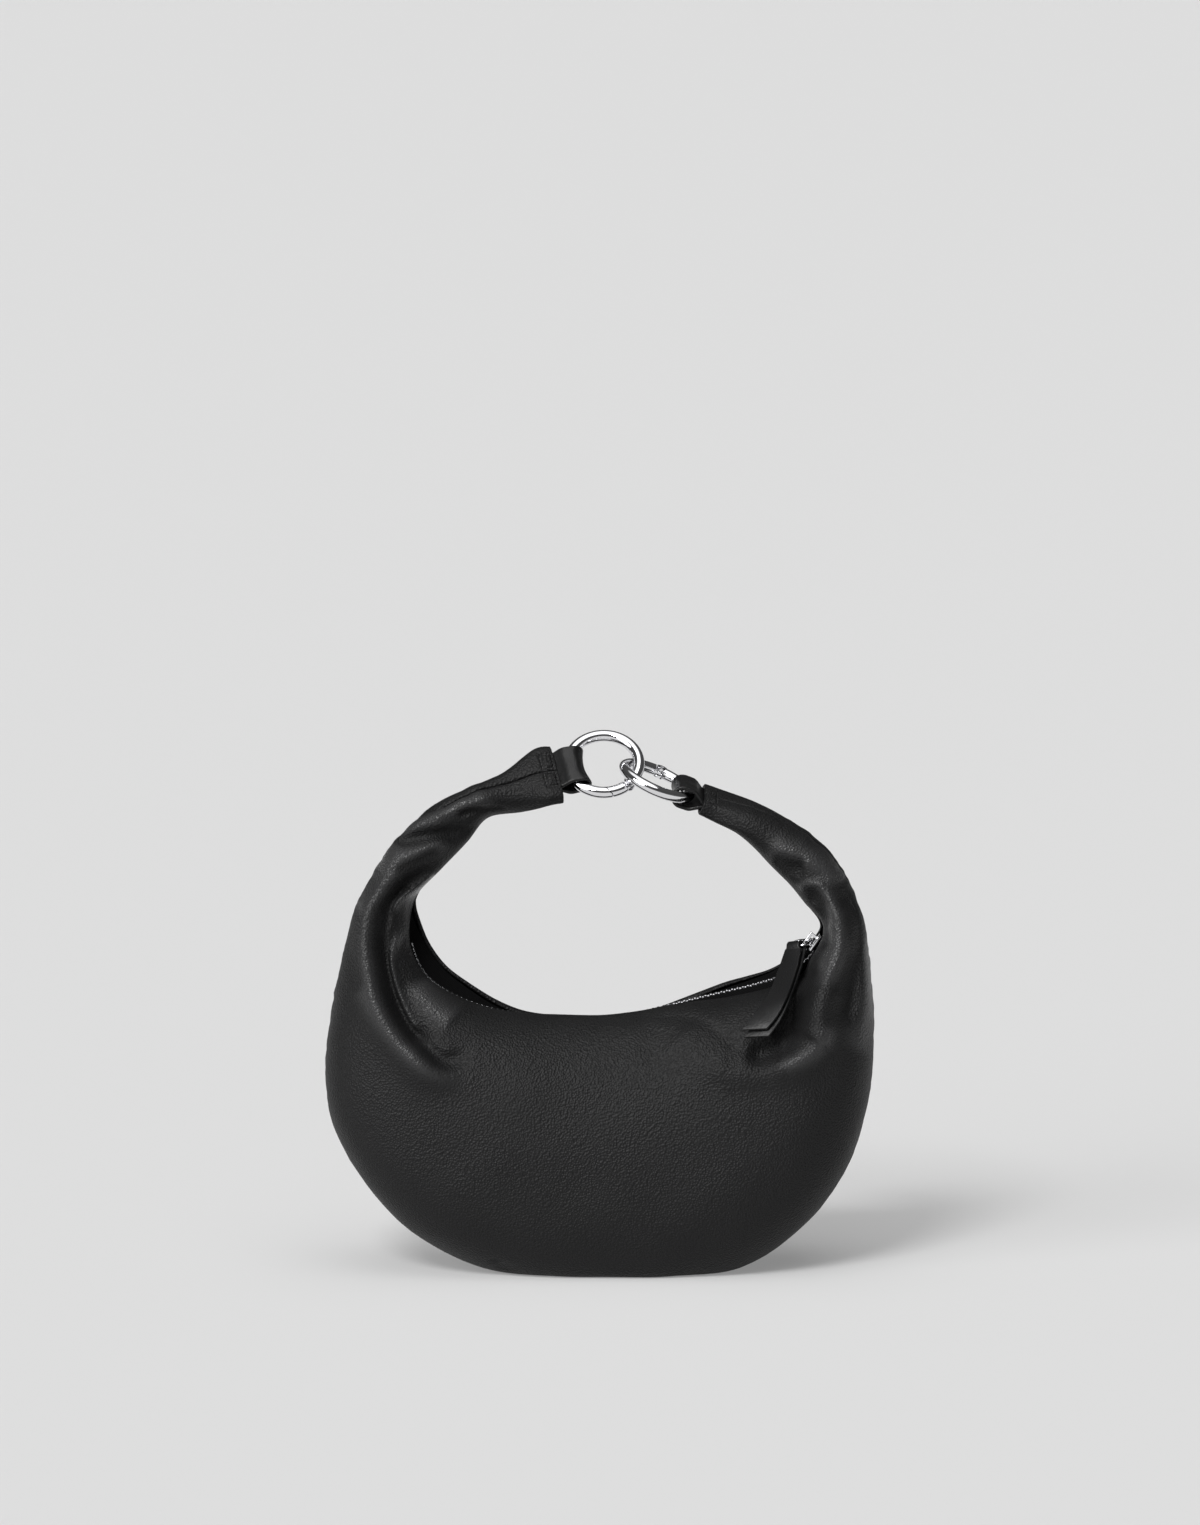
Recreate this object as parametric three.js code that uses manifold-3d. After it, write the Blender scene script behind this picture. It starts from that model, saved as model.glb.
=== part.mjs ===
// A small soft leather handbag whose own ends make the handle: two crescent panels, a zip in the
// mouth, and an arm on each side that tapers to a leather loop. Two spring rings join the loops.
// Millimetres. +X is to the right seen from the front, +Y to the back, +Z up. The bag stands on Z = 0.
import * as THREE from 'three';
import { mergeVertices } from 'three/addons/utils/BufferGeometryUtils.js';
import Module from 'manifold-3d';

const wasm = await Module();
wasm.setup();

// Bag
const bagWidth = 262;          // across the crescent at its widest
const bagHeight = 250;         // floor to the top of the arms
const bagDepth = 96;           // front to back at the middle
const leather = 2;             // panel wall, two layers with a thin filling
const seamGap = 0.3;           // between the front panel's edge and the back panel's
const lipRise = 6;             // how far the fuller lip of the mouth stands up
const lipDip = 1.5;            // how far the lips roll inwards to the zip
const lipRoll = 5;             // how wide that roll is
const belly = 0.07;            // the widest line lies this share of the section below its middle
const foldView = 8;            // degrees above level from which the folds are laid out
const foldFade = 0.18;         // share of a fold's length over which it dies away

// Arm ends
const armWidth = 30.5;         // flattened end, across the loop
const armThick = 9.6;          // flattened end, through its two walls
const hemSwell = 1.15;         // the arm is this much thicker behind its hem
const endSquare = 4;           // exponent of the flattened end's oval
const hemDepth = 8;            // straight stretch that the loop's tails are sewn into
const hemX = -0.079;           // middle of the left arm's end, share of bagWidth
const hemZ = 0.955;            // and share of bagHeight
const leftLean = 12.6;         // degrees that the left end leans off upright
const leftRoll = 44;           // degrees that the left end lies back
const leftDrop = 1.3;          // left arm's end lies this far below the middle of its loop
const rightLean = 23.3;        // degrees that the right end slopes down from the ring
const rightRoll = -8.8;        // degrees that the right end tips forwards

// Leather loops
const loopWidth = 20.7;
const loopLeather = 1.8;
const loopReach = 6.3;         // hem's edge to the middle of the ring's wire
const loopGap = 0.15;          // half of the gap between a loop's two tails
const loopFit = 0.95;          // clearance of a loop round its wire
const fitGap = 0.35;           // clearance of a piece that sits on another

// Spring rings
const ringInner = 28;          // inner diameter
const ringWire = 5.5;          // wire diameter
const ringMeet = 30;           // degrees round the right ring from its pull line to the left ring
const gateLength = 11.4;       // pin to nose, along the ring
const leftHinge = -55.5;       // degrees round the left ring to its gate's pin
const rightHinge = 96;         // degrees round the right ring to its gate's pin
const noseGap = 0.4;           // gate's nose to the ring's end
const noseCut = 18;            // degrees that the nose is cut back, so that the gate can open
const knuckleRadius = 2.5;
const forkSlot = 2.4;          // slot in the ring's end that holds the gate's tongue
const tongueThick = 1.8;
const tongueRadius = 2;
const pinRadius = 0.7;
const pinClearance = 0.27;
const springSlot = 1.6;        // width of the slot on the inside of the gate
const springSlotDeep = 1;
const springSlotLong = 5;

// Zip
const mouthFront = 5.5;        // from the middle of the zip to the front lip
const mouthBack = 8.5;         // and to the back lip
const zipDrop = 0.6;           // zip's top below the line of the mouth
const toothPitch = 2.6;
const toothRise = 2.2;
const chainWidth = 4.8;
const valleyRise = 1.2;        // chain's thickness between two teeth
const valleyWidth = 3;
const tapeThick = 0.9;
const tapeUnder = 3.5;         // how far the tape goes on under the leather
const sliderLong = 9;
const sliderWide = 6.6;
const sliderPlate = 1.3;
const postLong = 2;
const bridgeLong = 6;
const bridgeBar = 1.5;
const bridgeHole = 2.6;
const sliderGap = 0.8;         // slider's plates to the teeth

// Pull
const linkWire = 1.5;
const linkHalfWide = 5.5;      // middle of the wire, across the pull tab
const linkHalfLong = 4;        // middle of the wire, along the pull tab
const linkCorner = 2.5;
const linkPitch = 14;          // degrees that it rises towards the slider
const tabLeather = 1.3;
const tabNeck = 7.6;
const tabWidth = 12.4;
const tabTurn = 41;            // degrees that the tab faces away from straight ahead
const tabTilt = 10;            // degrees that its top edge rises to the right
const tabEndTurn = 14;         // degrees that its lower end faces away
const tabEndTilt = 5;
const tabLift = 6.5;           // rear tail's clearance over the front panel
const tailGap = 0.5;           // between the two tails at the fold
const tailSpread = 2;          // and at their ends
const rearLonger = 1.5;         // rear tail's extra length

// Mesh density
const panelSteps = 60;         // sections along the crescent
const panelCells = 12;         // cells from seam to mouth
const wireSides = 10;

const RAD = Math.PI / 180;

// Sections of the leather from the left arm to the right. innerX, innerZ, outerX and outerZ are the
// hand side and the seam side, as shares of bagWidth and bagHeight. depth is a share of bagDepth,
// mouth of the mouth's width, lipFront and lipBack of lipRise. roll lays the section back, seam turns
// the side seams round it, both in degrees. square is the exponent of the section's oval.
const columns = ['innerX', 'innerZ', 'outerX', 'outerZ', 'depth', 'roll', 'seam', 'square', 'mouth',
  'lipFront', 'lipBack'];
const sections = [
  [-0.141, 0.882, -0.179, 0.951, 0.19, 34, -80, 2.6, 0, 0, 0],
  [-0.201, 0.871, -0.246, 0.922, 0.25, 20, -62, 2.3, 0, 0, 0],
  [-0.240, 0.823, -0.318, 0.880, 0.31, 8, -42, 2.2, 0, 0, 0],
  [-0.285, 0.775, -0.372, 0.807, 0.38, 2, -22, 2.2, 0, 0, 0],
  [-0.327, 0.728, -0.412, 0.740, 0.44, 0, -8, 2.2, 0, 0, 0],
  [-0.339, 0.690, -0.441, 0.681, 0.50, 0, 0, 2.2, 0.3, 0, 0.3],
  [-0.338, 0.627, -0.470, 0.594, 0.58, 0, 0, 2.2, 0.95, 0.2, 1.5],
  [-0.313, 0.567, -0.489, 0.500, 0.68, 0, 0, 2.2, 1, 0.3, 2.0],
  [-0.264, 0.529, -0.500, 0.398, 0.79, 0, 0, 2.3, 1, 0.35, 1.7],
  [-0.202, 0.504, -0.487, 0.279, 0.89, 0, 0, 2.4, 1, 0.4, 0.9],
  [-0.145, 0.492, -0.413, 0.146, 0.96, 0, 0, 2.5, 1, 0.55, 0.2],
  [-0.089, 0.486, -0.306, 0.046, 1.00, 0, 0, 2.5, 1, 0.62, 0],
  [-0.036, 0.484, -0.164, -0.014, 1.00, 0, 0, 2.5, 1, 0.62, -0.1],
  [0.018, 0.485, 0.013, -0.038, 1.00, 0, 0, 2.5, 1, 0.62, -0.1],
  [0.073, 0.491, 0.182, -0.022, 1.00, 0, 0, 2.5, 1, 0.65, 0],
  [0.124, 0.504, 0.324, 0.042, 1.00, 0, 0, 2.5, 1, 0.6, 0.2],
  [0.176, 0.518, 0.432, 0.160, 0.96, 0, 0, 2.4, 1, 0.45, 0.5],
  [0.231, 0.532, 0.488, 0.313, 0.89, 0, 0, 2.3, 1, 0.2, 0.9],
  [0.285, 0.546, 0.501, 0.450, 0.79, 0, 0, 2.2, 1, 0.1, 1.3],
  [0.333, 0.566, 0.497, 0.548, 0.68, 0, 0, 2.2, 1, 0.1, 1.6],
  [0.380, 0.603, 0.488, 0.625, 0.58, 0, 0, 2.2, 1, -0.1, 1.7],
  [0.407, 0.656, 0.471, 0.700, 0.50, 0, 0, 2.2, 0.75, -0.2, 0.6],
  [0.374, 0.702, 0.455, 0.744, 0.45, 0, -3, 2.2, 0, 0, 0],
  [0.344, 0.741, 0.425, 0.793, 0.41, 0, -8, 2.2, 0, 0, 0],
  [0.310, 0.778, 0.382, 0.836, 0.38, -1, -12, 2.2, 0, 0, 0],
  [0.278, 0.815, 0.335, 0.867, 0.355, -3, -15, 2.3, 0, 0, 0],
  [0.245, 0.846, 0.284, 0.893, 0.345, -6, -15, 2.6, 0, 0, 0],
];
const mouthStart = 8;          // row where the zip starts, counted with the two rows of the arm's end
const zipEnd = 22.45;          // row where the teeth end, inside the slider

// Folds of the front panel: a line of points seen from the front (x share of bagWidth, height share
// of bagHeight), with height and width as shares of bagDepth. A fold below zero is a hollow.
const folds = [
  { height: 0.05, width: 0.1, line: [[-0.265, 0.873], [-0.316, 0.838], [-0.371, 0.782],
    [-0.413, 0.676], [-0.407, 0.53], [-0.336, 0.398], [-0.245, 0.362]] },
  { height: -0.045, width: 0.09, line: [[-0.358, 0.777], [-0.371, 0.62], [-0.344, 0.486],
    [-0.309, 0.429]] },
  { height: 0.045, width: 0.09, line: [[0.42, 0.703], [0.442, 0.642], [0.423, 0.571],
    [0.39, 0.49], [0.362, 0.4], [0.3, 0.38]] },
  { height: -0.045, width: 0.1, line: [[0.372, 0.6], [0.342, 0.512], [0.32, 0.436]] },
];

// Pull tab's middle line seen from the front, as shares of bagWidth and bagHeight
const tabLine = [[0.3315, 0.5415], [0.315, 0.509], [0.298, 0.482], [0.279, 0.459]];

// Turns a direction drawn in the XZ plane back about the X axis
function rolled(x, y, z, degrees) {
  const c = Math.cos(degrees * RAD);
  const s = Math.sin(degrees * RAD);
  return new THREE.Vector3(x, y * c + z * s, z * c - y * s);
}

function combine(origin, ...terms) {
  const point = origin.clone();
  for (const [vector, length] of terms) point.addScaledVector(vector, length);
  return point;
}

// Frames of the two rings. out points from the arm to the ring, side runs along the loop's fold and
// face is the ring's own axis.
function ringFrame(out, side) {
  return { out, side, face: new THREE.Vector3().crossVectors(out, side) };
}

const ringRadius = (ringInner + ringWire) / 2;
const lean1 = leftLean * RAD;
const lean2 = rightLean * RAD;
const leftFrame = ringFrame(
  rolled(Math.cos(lean1), 0, Math.sin(lean1), leftRoll),
  rolled(-Math.sin(lean1), 0, Math.cos(lean1), leftRoll));
const rightFrame = ringFrame(
  rolled(-Math.cos(lean2), 0, Math.sin(lean2), rightRoll),
  rolled(0, 1, 0, rightRoll));

function onRing(frame, degrees) {
  const a = degrees * RAD;
  return combine(new THREE.Vector3(), [frame.out, ringRadius * Math.cos(a)],
    [frame.side, ringRadius * Math.sin(a)]);
}

function alongRing(frame, degrees) {
  const a = degrees * RAD;
  return combine(new THREE.Vector3(), [frame.out, -Math.sin(a)], [frame.side, Math.cos(a)]);
}

// The left ring sits on its hem. The right ring hangs in it, one wire and a clearance away, and
// carries the right hem.
const leftHem = new THREE.Vector3(hemX * bagWidth, 0, hemZ * bagHeight);
const leftRingAt = combine(leftHem, [leftFrame.out, loopReach + ringRadius]);
const apart = new THREE.Vector3().crossVectors(alongRing(leftFrame, 0), alongRing(rightFrame, ringMeet));
apart.normalize();
if (apart.dot(leftFrame.out) > 0) apart.negate();
const rightRingAt = leftRingAt.clone().add(onRing(leftFrame, 0))
  .addScaledVector(apart, ringWire + fitGap).sub(onRing(rightFrame, ringMeet));
const rightHem = combine(rightRingAt, [rightFrame.out, -loopReach - ringRadius]);
const leftEnd = combine(leftHem, [leftFrame.side, -leftDrop]);

// Rows of the section table in millimetres, with two rows for each flattened arm end
function tableRow(row) {
  const share = Object.fromEntries(columns.map((name, i) => [name, row[i]]));
  return {
    ...share,
    innerX: share.innerX * bagWidth, innerZ: share.innerZ * bagHeight,
    outerX: share.outerX * bagWidth, outerZ: share.outerZ * bagHeight,
    middleY: 0,
    depth: share.depth * bagDepth,
    lipFront: share.lipFront * lipRise, lipBack: share.lipBack * lipRise,
  };
}

function endRow(hem, frame, back, lean, roll, span, depth, seam, square) {
  const middle = combine(hem, [frame.out, -back]);
  const x = Math.sin(lean) * span / 2;
  const z = Math.cos(lean) * span / 2;
  return { innerX: middle.x - x, innerZ: middle.z - z, outerX: middle.x + x, outerZ: middle.z + z,
    middleY: middle.y, depth, roll, seam, square, mouth: 0, lipFront: 0, lipBack: 0 };
}

const rows = [
  endRow(leftEnd, leftFrame, 0, -lean1, leftRoll, armWidth, armThick, -90, endSquare),
  endRow(leftEnd, leftFrame, hemDepth, -lean1, leftRoll, armWidth, armThick * hemSwell, -90, endSquare),
  ...sections.map(tableRow),
  endRow(rightHem, rightFrame, hemDepth, lean2, rightRoll, armThick * hemSwell, armWidth, -10, endSquare),
  endRow(rightHem, rightFrame, 0, lean2, rightRoll, armThick, armWidth, -10, endSquare),
];
const lastRow = rows.length - 1;
const rowNames = Object.keys(rows[0]);

function smooth(a, b, c, d, t) {
  return 0.5 * (2 * b + (c - a) * t + (2 * a - 5 * b + 4 * c - d) * t * t
    + (3 * b - a - 3 * c + d) * t * t * t);
}

function sectionAt(place) {
  const i = Math.min(Math.floor(place), lastRow - 1);
  const near = [Math.max(i - 1, 0), i, i + 1, Math.min(i + 2, lastRow)];
  const row = {};
  for (const name of rowNames) row[name] = smooth(...near.map((n) => rows[n][name]), place - i);
  row.mouth = Math.max(row.mouth, 0);
  const dx = row.outerX - row.innerX;
  const dz = row.outerZ - row.innerZ;
  const span = Math.hypot(dx, dz);
  row.half = span / 2;
  row.along = rolled(dx / span, 0, dz / span, row.roll);
  row.across = rolled(0, 1, 0, row.roll);
  row.middle = new THREE.Vector3((row.innerX + row.outerX) / 2, row.middleY,
    (row.innerZ + row.outerZ) / 2);
  return row;
}

// A point of the leather round one section. turn is 0 on the hand side, 90 degrees in front and 180
// at the seam side.
function basePoint(row, turn, inset) {
  const c = Math.cos(turn);
  const s = Math.sin(turn);
  const fit = (Math.abs(c) ** row.square + Math.abs(s) ** row.square) ** (-1 / row.square);
  const over = -(row.depth / 2 - inset) * s * fit;
  const full = Math.min(1, row.mouth);
  let up = -(row.half - inset) * c * fit + belly * full * row.half * s * s;
  if (c > 0) {
    up -= c * c * (s > 0 ? row.lipFront : row.lipBack);
    const roll = (Math.abs(over) - row.mouth * (s > 0 ? mouthFront : mouthBack)) / lipRoll;
    up += lipDip * full * Math.exp(-roll * roll);
  }
  const point = combine(row.middle, [row.along, up], [row.across, over]);
  point.z = Math.max(point.z, inset);
  return point;
}

// Fold lines as point lists in millimetres
const foldLines = folds.map(({ height, width, line }) => {
  const curve = new THREE.CatmullRomCurve3(
    line.map(([x, z]) => new THREE.Vector3(x * bagWidth, z * bagHeight, 0)), false, 'centripetal');
  return { height: height * bagDepth, width: width * bagDepth, points: curve.getPoints(40) };
});
function foldHeight(point) {
  const seen = new THREE.Vector3(point.x,
    point.z * Math.cos(foldView * RAD) + point.y * Math.sin(foldView * RAD), 0);
  let sum = 0;
  for (const { height, width, points } of foldLines) {
    let best = 0;
    points.forEach((p, i) => {
      if (p.distanceToSquared(seen) < points[best].distanceToSquared(seen)) best = i;
    });
    const along = best / (points.length - 1);
    const fade = Math.min(1, along / foldFade, (1 - along) / foldFade);
    const away = points[best].distanceTo(seen) / width;
    sum += height * fade * Math.exp(-away * away);
  }
  return sum;
}

const tiny = 1e-3;

function skinNormal(place, turn) {
  const p = Math.min(Math.max(place, tiny), lastRow - tiny);
  const a = basePoint(sectionAt(p + tiny), turn, 0).sub(basePoint(sectionAt(p - tiny), turn, 0));
  const row = sectionAt(p);
  const b = basePoint(row, turn + tiny, 0).sub(basePoint(row, turn - tiny, 0));
  return b.cross(a).normalize();
}

// Outer or inner face of the leather, with the folds of the front
function skinPoint(place, turn, inset) {
  const point = basePoint(sectionAt(place), turn, inset);
  const outer = basePoint(sectionAt(place), turn, 0);
  if (Math.sin(turn) > 0) {
    const rise = foldHeight(outer) * Math.min(1, 3 * Math.sin(turn));
    point.addScaledVector(skinNormal(place, turn), rise);
  }
  point.z = Math.max(point.z, inset);
  return point;
}

// Turn of the seam edge and of the mouth edge of a panel, side is 1 in front and -1 behind
function panelTurns(place, side) {
  const row = sectionAt(place);
  const shift = row.seam * RAD;
  const pace = Math.abs(Math.sin(shift)) * row.half + Math.abs(Math.cos(shift)) * row.depth / 2;
  const gap = seamGap / 2 / pace;
  const lip = Math.atan(row.mouth * (side > 0 ? mouthFront : mouthBack) * 2 / row.depth);
  return side > 0
    ? [Math.PI + shift - gap, shift + lip + gap]
    : [Math.PI + shift + gap, 2 * Math.PI + shift - lip - gap];
}

// Closed solid through a list of closed rings of points. Each end is capped across the ring, from
// point i to point n - 1 - i, which also fits a ring that is a thin curved strip.
function loft(rings, closed = false) {
  const n = rings[0].length;
  const positions = rings.flatMap((ring) => ring.flatMap((p) => [p.x, p.y, p.z]));
  const faces = [];
  const quad = (a, b, c, d) => faces.push(a, b, c, a, c, d);
  const bands = closed ? rings.length : rings.length - 1;
  for (let i = 0; i < bands; i++) {
    const here = i * n;
    const next = ((i + 1) % rings.length) * n;
    for (let j = 0; j < n; j++) {
      const k = (j + 1) % n;
      quad(here + j, here + k, next + k, next + j);
    }
  }
  if (!closed) {
    const last = (rings.length - 1) * n;
    for (let j = 0; j < n / 2 - 1; j++) {
      quad(j + 1, j, n - 1 - j, n - 2 - j);
      quad(last + j, last + j + 1, last + n - 2 - j, last + n - 1 - j);
    }
  }
  if (signedVolume(positions, faces) < 0) faces.reverse();
  const geometry = new THREE.BufferGeometry();
  geometry.setAttribute('position', new THREE.Float32BufferAttribute(positions, 3));
  geometry.setIndex(faces);
  return geometry;
}

function signedVolume(positions, faces) {
  const corner = (i) => new THREE.Vector3().fromArray(positions, 3 * faces[i]);
  let sum = 0;
  for (let i = 0; i < faces.length; i += 3) {
    sum += corner(i).dot(corner(i + 1).cross(corner(i + 2)));
  }
  return sum;
}

function solidOf(geometry) {
  const bare = new THREE.BufferGeometry();
  bare.setAttribute('position', geometry.getAttribute('position').clone());
  bare.setIndex(geometry.index);
  const merged = mergeVertices(bare, 1e-5);
  return new wasm.Manifold(new wasm.Mesh({
    numProp: 3,
    vertProperties: new Float32Array(merged.getAttribute('position').array),
    triVerts: new Uint32Array(merged.index.array),
  }));
}

function geometryOf(solid) {
  const mesh = solid.getMesh();
  const geometry = new THREE.BufferGeometry();
  geometry.setAttribute('position', new THREE.Float32BufferAttribute(mesh.vertProperties, 3));
  geometry.setIndex(Array.from(mesh.triVerts));
  return geometry;
}

function boxSolid(sizeX, sizeY, sizeZ, matrix) {
  return solidOf(new THREE.BoxGeometry(sizeX, sizeY, sizeZ).applyMatrix4(matrix));
}

// Cylinder along Z of the given matrix
function rodSolid(radius, length, matrix) {
  const upright = new THREE.Matrix4().makeRotationX(Math.PI / 2);
  return solidOf(new THREE.CylinderGeometry(radius, radius, length, 16)
    .applyMatrix4(upright).applyMatrix4(matrix));
}

function frameMatrix(x, y, z, origin) {
  return new THREE.Matrix4().makeBasis(x, y, z).setPosition(origin);
}

function moved(x, y, z) {
  return new THREE.Matrix4().makeTranslation(x, y, z);
}

const blackLeather = new THREE.MeshStandardMaterial({ color: 0x1b1b1c, roughness: 0.45, metalness: 0 });
const chrome = new THREE.MeshStandardMaterial({ color: 0xd9dadc, roughness: 0.12, metalness: 1 });
const blackTape = new THREE.MeshStandardMaterial({ color: 0x101011, roughness: 0.9, metalness: 0 });
const bag = new THREE.Group();

function add(name, geometry, material) {
  const finished = geometry.index ? geometry.toNonIndexed() : geometry;
  finished.computeVertexNormals();
  const mesh = new THREE.Mesh(finished, material);
  mesh.name = name;
  bag.add(mesh);
  return mesh;
}

function panel(name, side) {
  const rings = [];
  for (let i = 0; i <= panelSteps; i++) {
    const place = i * lastRow / panelSteps;
    const [from, to] = panelTurns(place, side);
    const outer = [];
    const inner = [];
    for (let j = 0; j <= panelCells; j++) {
      const turn = from + (to - from) * j / panelCells;
      outer.push(skinPoint(place, turn, 0));
      inner.push(skinPoint(place, turn, leather));
    }
    rings.push([...outer, ...inner.reverse()]);
  }
  return add(name, loft(rings), blackLeather);
}

// Middle of the mouth, down in the bag by the given amount
function mouthPoint(place, down) {
  const row = sectionAt(place);
  return combine(row.middle, [row.along, down + zipDrop - row.half]);
}

function zipTape(name, side) {
  const rings = [];
  const step = lastRow / panelSteps;
  for (let i = Math.ceil(mouthStart / step); i * step <= zipEnd; i++) {
    const place = i * step;
    const row = sectionAt(place);
    const [from, lip] = panelTurns(place, side);
    const chainSide = combine(mouthPoint(place, (toothRise - tapeThick) / 2),
      [row.across, -side * (chainWidth / 2 + fitGap)]);
    const flat = combine(chainSide, [row.across, -side * (sliderWide - chainWidth) / 2]);
    const underLip = skinPoint(place, lip, leather + fitGap);
    const underCell = skinPoint(place, lip + (from - lip) / panelCells, leather + fitGap);
    const share = Math.min(1, tapeUnder / underLip.distanceTo(underCell));
    const top = [chainSide, flat, underLip, underLip.clone().lerp(underCell, share)];
    const bottom = top.map((p) => combine(p, [row.along, tapeThick]));
    rings.push([...top, ...bottom.reverse()]);
  }
  return add(name, loft(rings), blackTape);
}

function zipChain(name) {
  const samples = 400;
  const points = [];
  for (let i = 0; i <= samples; i++) {
    points.push(mouthPoint(mouthStart + (zipEnd - mouthStart) * i / samples, 0));
  }
  const lengths = [0];
  for (let i = 1; i <= samples; i++) lengths.push(lengths[i - 1] + points[i].distanceTo(points[i - 1]));
  const placeAt = (length) => {
    let i = lengths.findIndex((l) => l >= length);
    if (i < 1) i = length <= 0 ? 1 : samples;
    const t = (length - lengths[i - 1]) / (lengths[i] - lengths[i - 1]);
    return mouthStart + (zipEnd - mouthStart) * (i - 1 + t) / samples;
  };
  const teeth = Math.floor(lengths[samples] / toothPitch);
  const toothShares = [0, 0.5];
  const rings = [];
  for (let i = 0; i < teeth; i++) {
    toothShares.forEach((share, j) => {
      const high = j === 1;
      const place = placeAt((i + share) * toothPitch);
      const row = sectionAt(place);
      const half = (high ? chainWidth : valleyWidth) / 2;
      const trim = high ? 0 : (toothRise - valleyRise) / 2;
      const corner = (down, over) => combine(mouthPoint(place, down), [row.across, over]);
      rings.push([corner(trim, -half), corner(trim, half),
        corner(toothRise - trim, half), corner(toothRise - trim, -half)]);
    });
  }
  return add(name, loft(rings), chrome);
}

// Slider: a plate above and one below the teeth, a post past their end and a bridge on top
const sliderPlace = zipEnd + 0.05;
const sliderSpan = 0.45;       // rows that the slider covers
const zipAhead = mouthPoint(sliderPlace, 0).sub(mouthPoint(sliderPlace - sliderSpan, 0)).normalize();
const zipSide = new THREE.Vector3(0, 1, 0);
const zipUp = new THREE.Vector3().crossVectors(zipAhead, zipSide).normalize();
const sliderFrame = frameMatrix(zipAhead, zipSide, zipUp, mouthPoint(sliderPlace, 0));

function zipSlider(name) {
  const topAt = sliderGap + sliderPlate / 2;
  const bottomAt = -toothRise - sliderGap - sliderPlate / 2;
  const at = (x, y, z) => sliderFrame.clone().multiply(moved(x, y, z));
  const middle = postLong + sliderGap - sliderLong / 2;
  const height = topAt - bottomAt;
  const bridgeTop = topAt + sliderPlate / 2 + bridgeHole + bridgeBar / 2;
  const bridgeFoot = (bridgeLong - bridgeBar) / 2;
  const footHeight = bridgeTop - topAt;
  const solid = [
    boxSolid(sliderLong, sliderWide, sliderPlate, at(middle, 0, bottomAt)),
    boxSolid(postLong, sliderWide / 2, height, at(sliderGap + postLong / 2, 0, (topAt + bottomAt) / 2)),
    boxSolid(bridgeLong, bridgeBar, bridgeBar, at(middle, 0, bridgeTop)),
    boxSolid(bridgeBar, bridgeBar, footHeight, at(middle - bridgeFoot, 0, (bridgeTop + topAt) / 2)),
    boxSolid(bridgeBar, bridgeBar, footHeight, at(middle + bridgeFoot, 0, (bridgeTop + topAt) / 2)),
  ].reduce((whole, piece) => whole.add(piece),
    boxSolid(sliderLong, sliderWide, sliderPlate, at(middle, 0, topAt)));
  return add(name, geometryOf(solid), chrome);
}

// Middle of the bridge's hole
const bridgeHoleAt = new THREE.Vector3(postLong + sliderGap - sliderLong / 2, 0,
  sliderGap + sliderPlate + bridgeHole / 2).applyMatrix4(sliderFrame);

function acrossTab(turn, tilt) {
  return new THREE.Vector3(Math.cos(turn * RAD) * Math.cos(tilt * RAD),
    -Math.sin(turn * RAD) * Math.cos(tilt * RAD), Math.sin(tilt * RAD));
}

// Link frame: across runs along the tab's folded edge, back goes from the fold to the slider
const linkAcross = acrossTab(tabTurn, tabTilt);
const levelBack = new THREE.Vector3(Math.sin(tabTurn * RAD), Math.cos(tabTurn * RAD), 0);
const levelFace = new THREE.Vector3().crossVectors(linkAcross, levelBack);
const linkBack = combine(levelBack.multiplyScalar(Math.cos(linkPitch * RAD)),
  [levelFace, Math.sin(linkPitch * RAD)]);
const linkFace = new THREE.Vector3().crossVectors(linkAcross, linkBack);
const cornerReach = linkCorner * (Math.SQRT1_2 - 1);
const linkMiddle = combine(bridgeHoleAt, [linkAcross, -linkHalfWide - cornerReach],
  [linkBack, -linkHalfLong - cornerReach]);
const foldAt = combine(linkMiddle, [linkBack, -linkHalfLong]);

function zipLink(name) {
  const rings = [];
  const cornerSteps = 4;
  const sides = 8;
  for (let quarter = 0; quarter < 4; quarter++) {
    for (let i = 0; i <= cornerSteps; i++) {
      const a = (quarter + i / cornerSteps) * Math.PI / 2;
      const signX = quarter === 0 || quarter === 3 ? 1 : -1;
      const signY = quarter < 2 ? 1 : -1;
      const middle = combine(linkMiddle,
        [linkAcross, signX * (linkHalfWide - linkCorner) + linkCorner * Math.cos(a)],
        [linkBack, signY * (linkHalfLong - linkCorner) + linkCorner * Math.sin(a)]);
      const outward = combine(new THREE.Vector3(), [linkAcross, Math.cos(a)], [linkBack, Math.sin(a)]);
      rings.push(circle(middle, outward, linkFace, linkWire / 2, sides));
    }
  }
  return add(name, loft(rings, true), chrome);
}

function circle(middle, x, y, radius, sides) {
  return Array.from({ length: sides }, (_, i) => {
    const a = 2 * Math.PI * (i + 0.5) / sides;
    return combine(middle, [x, radius * Math.cos(a)], [y, radius * Math.sin(a)]);
  });
}

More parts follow.
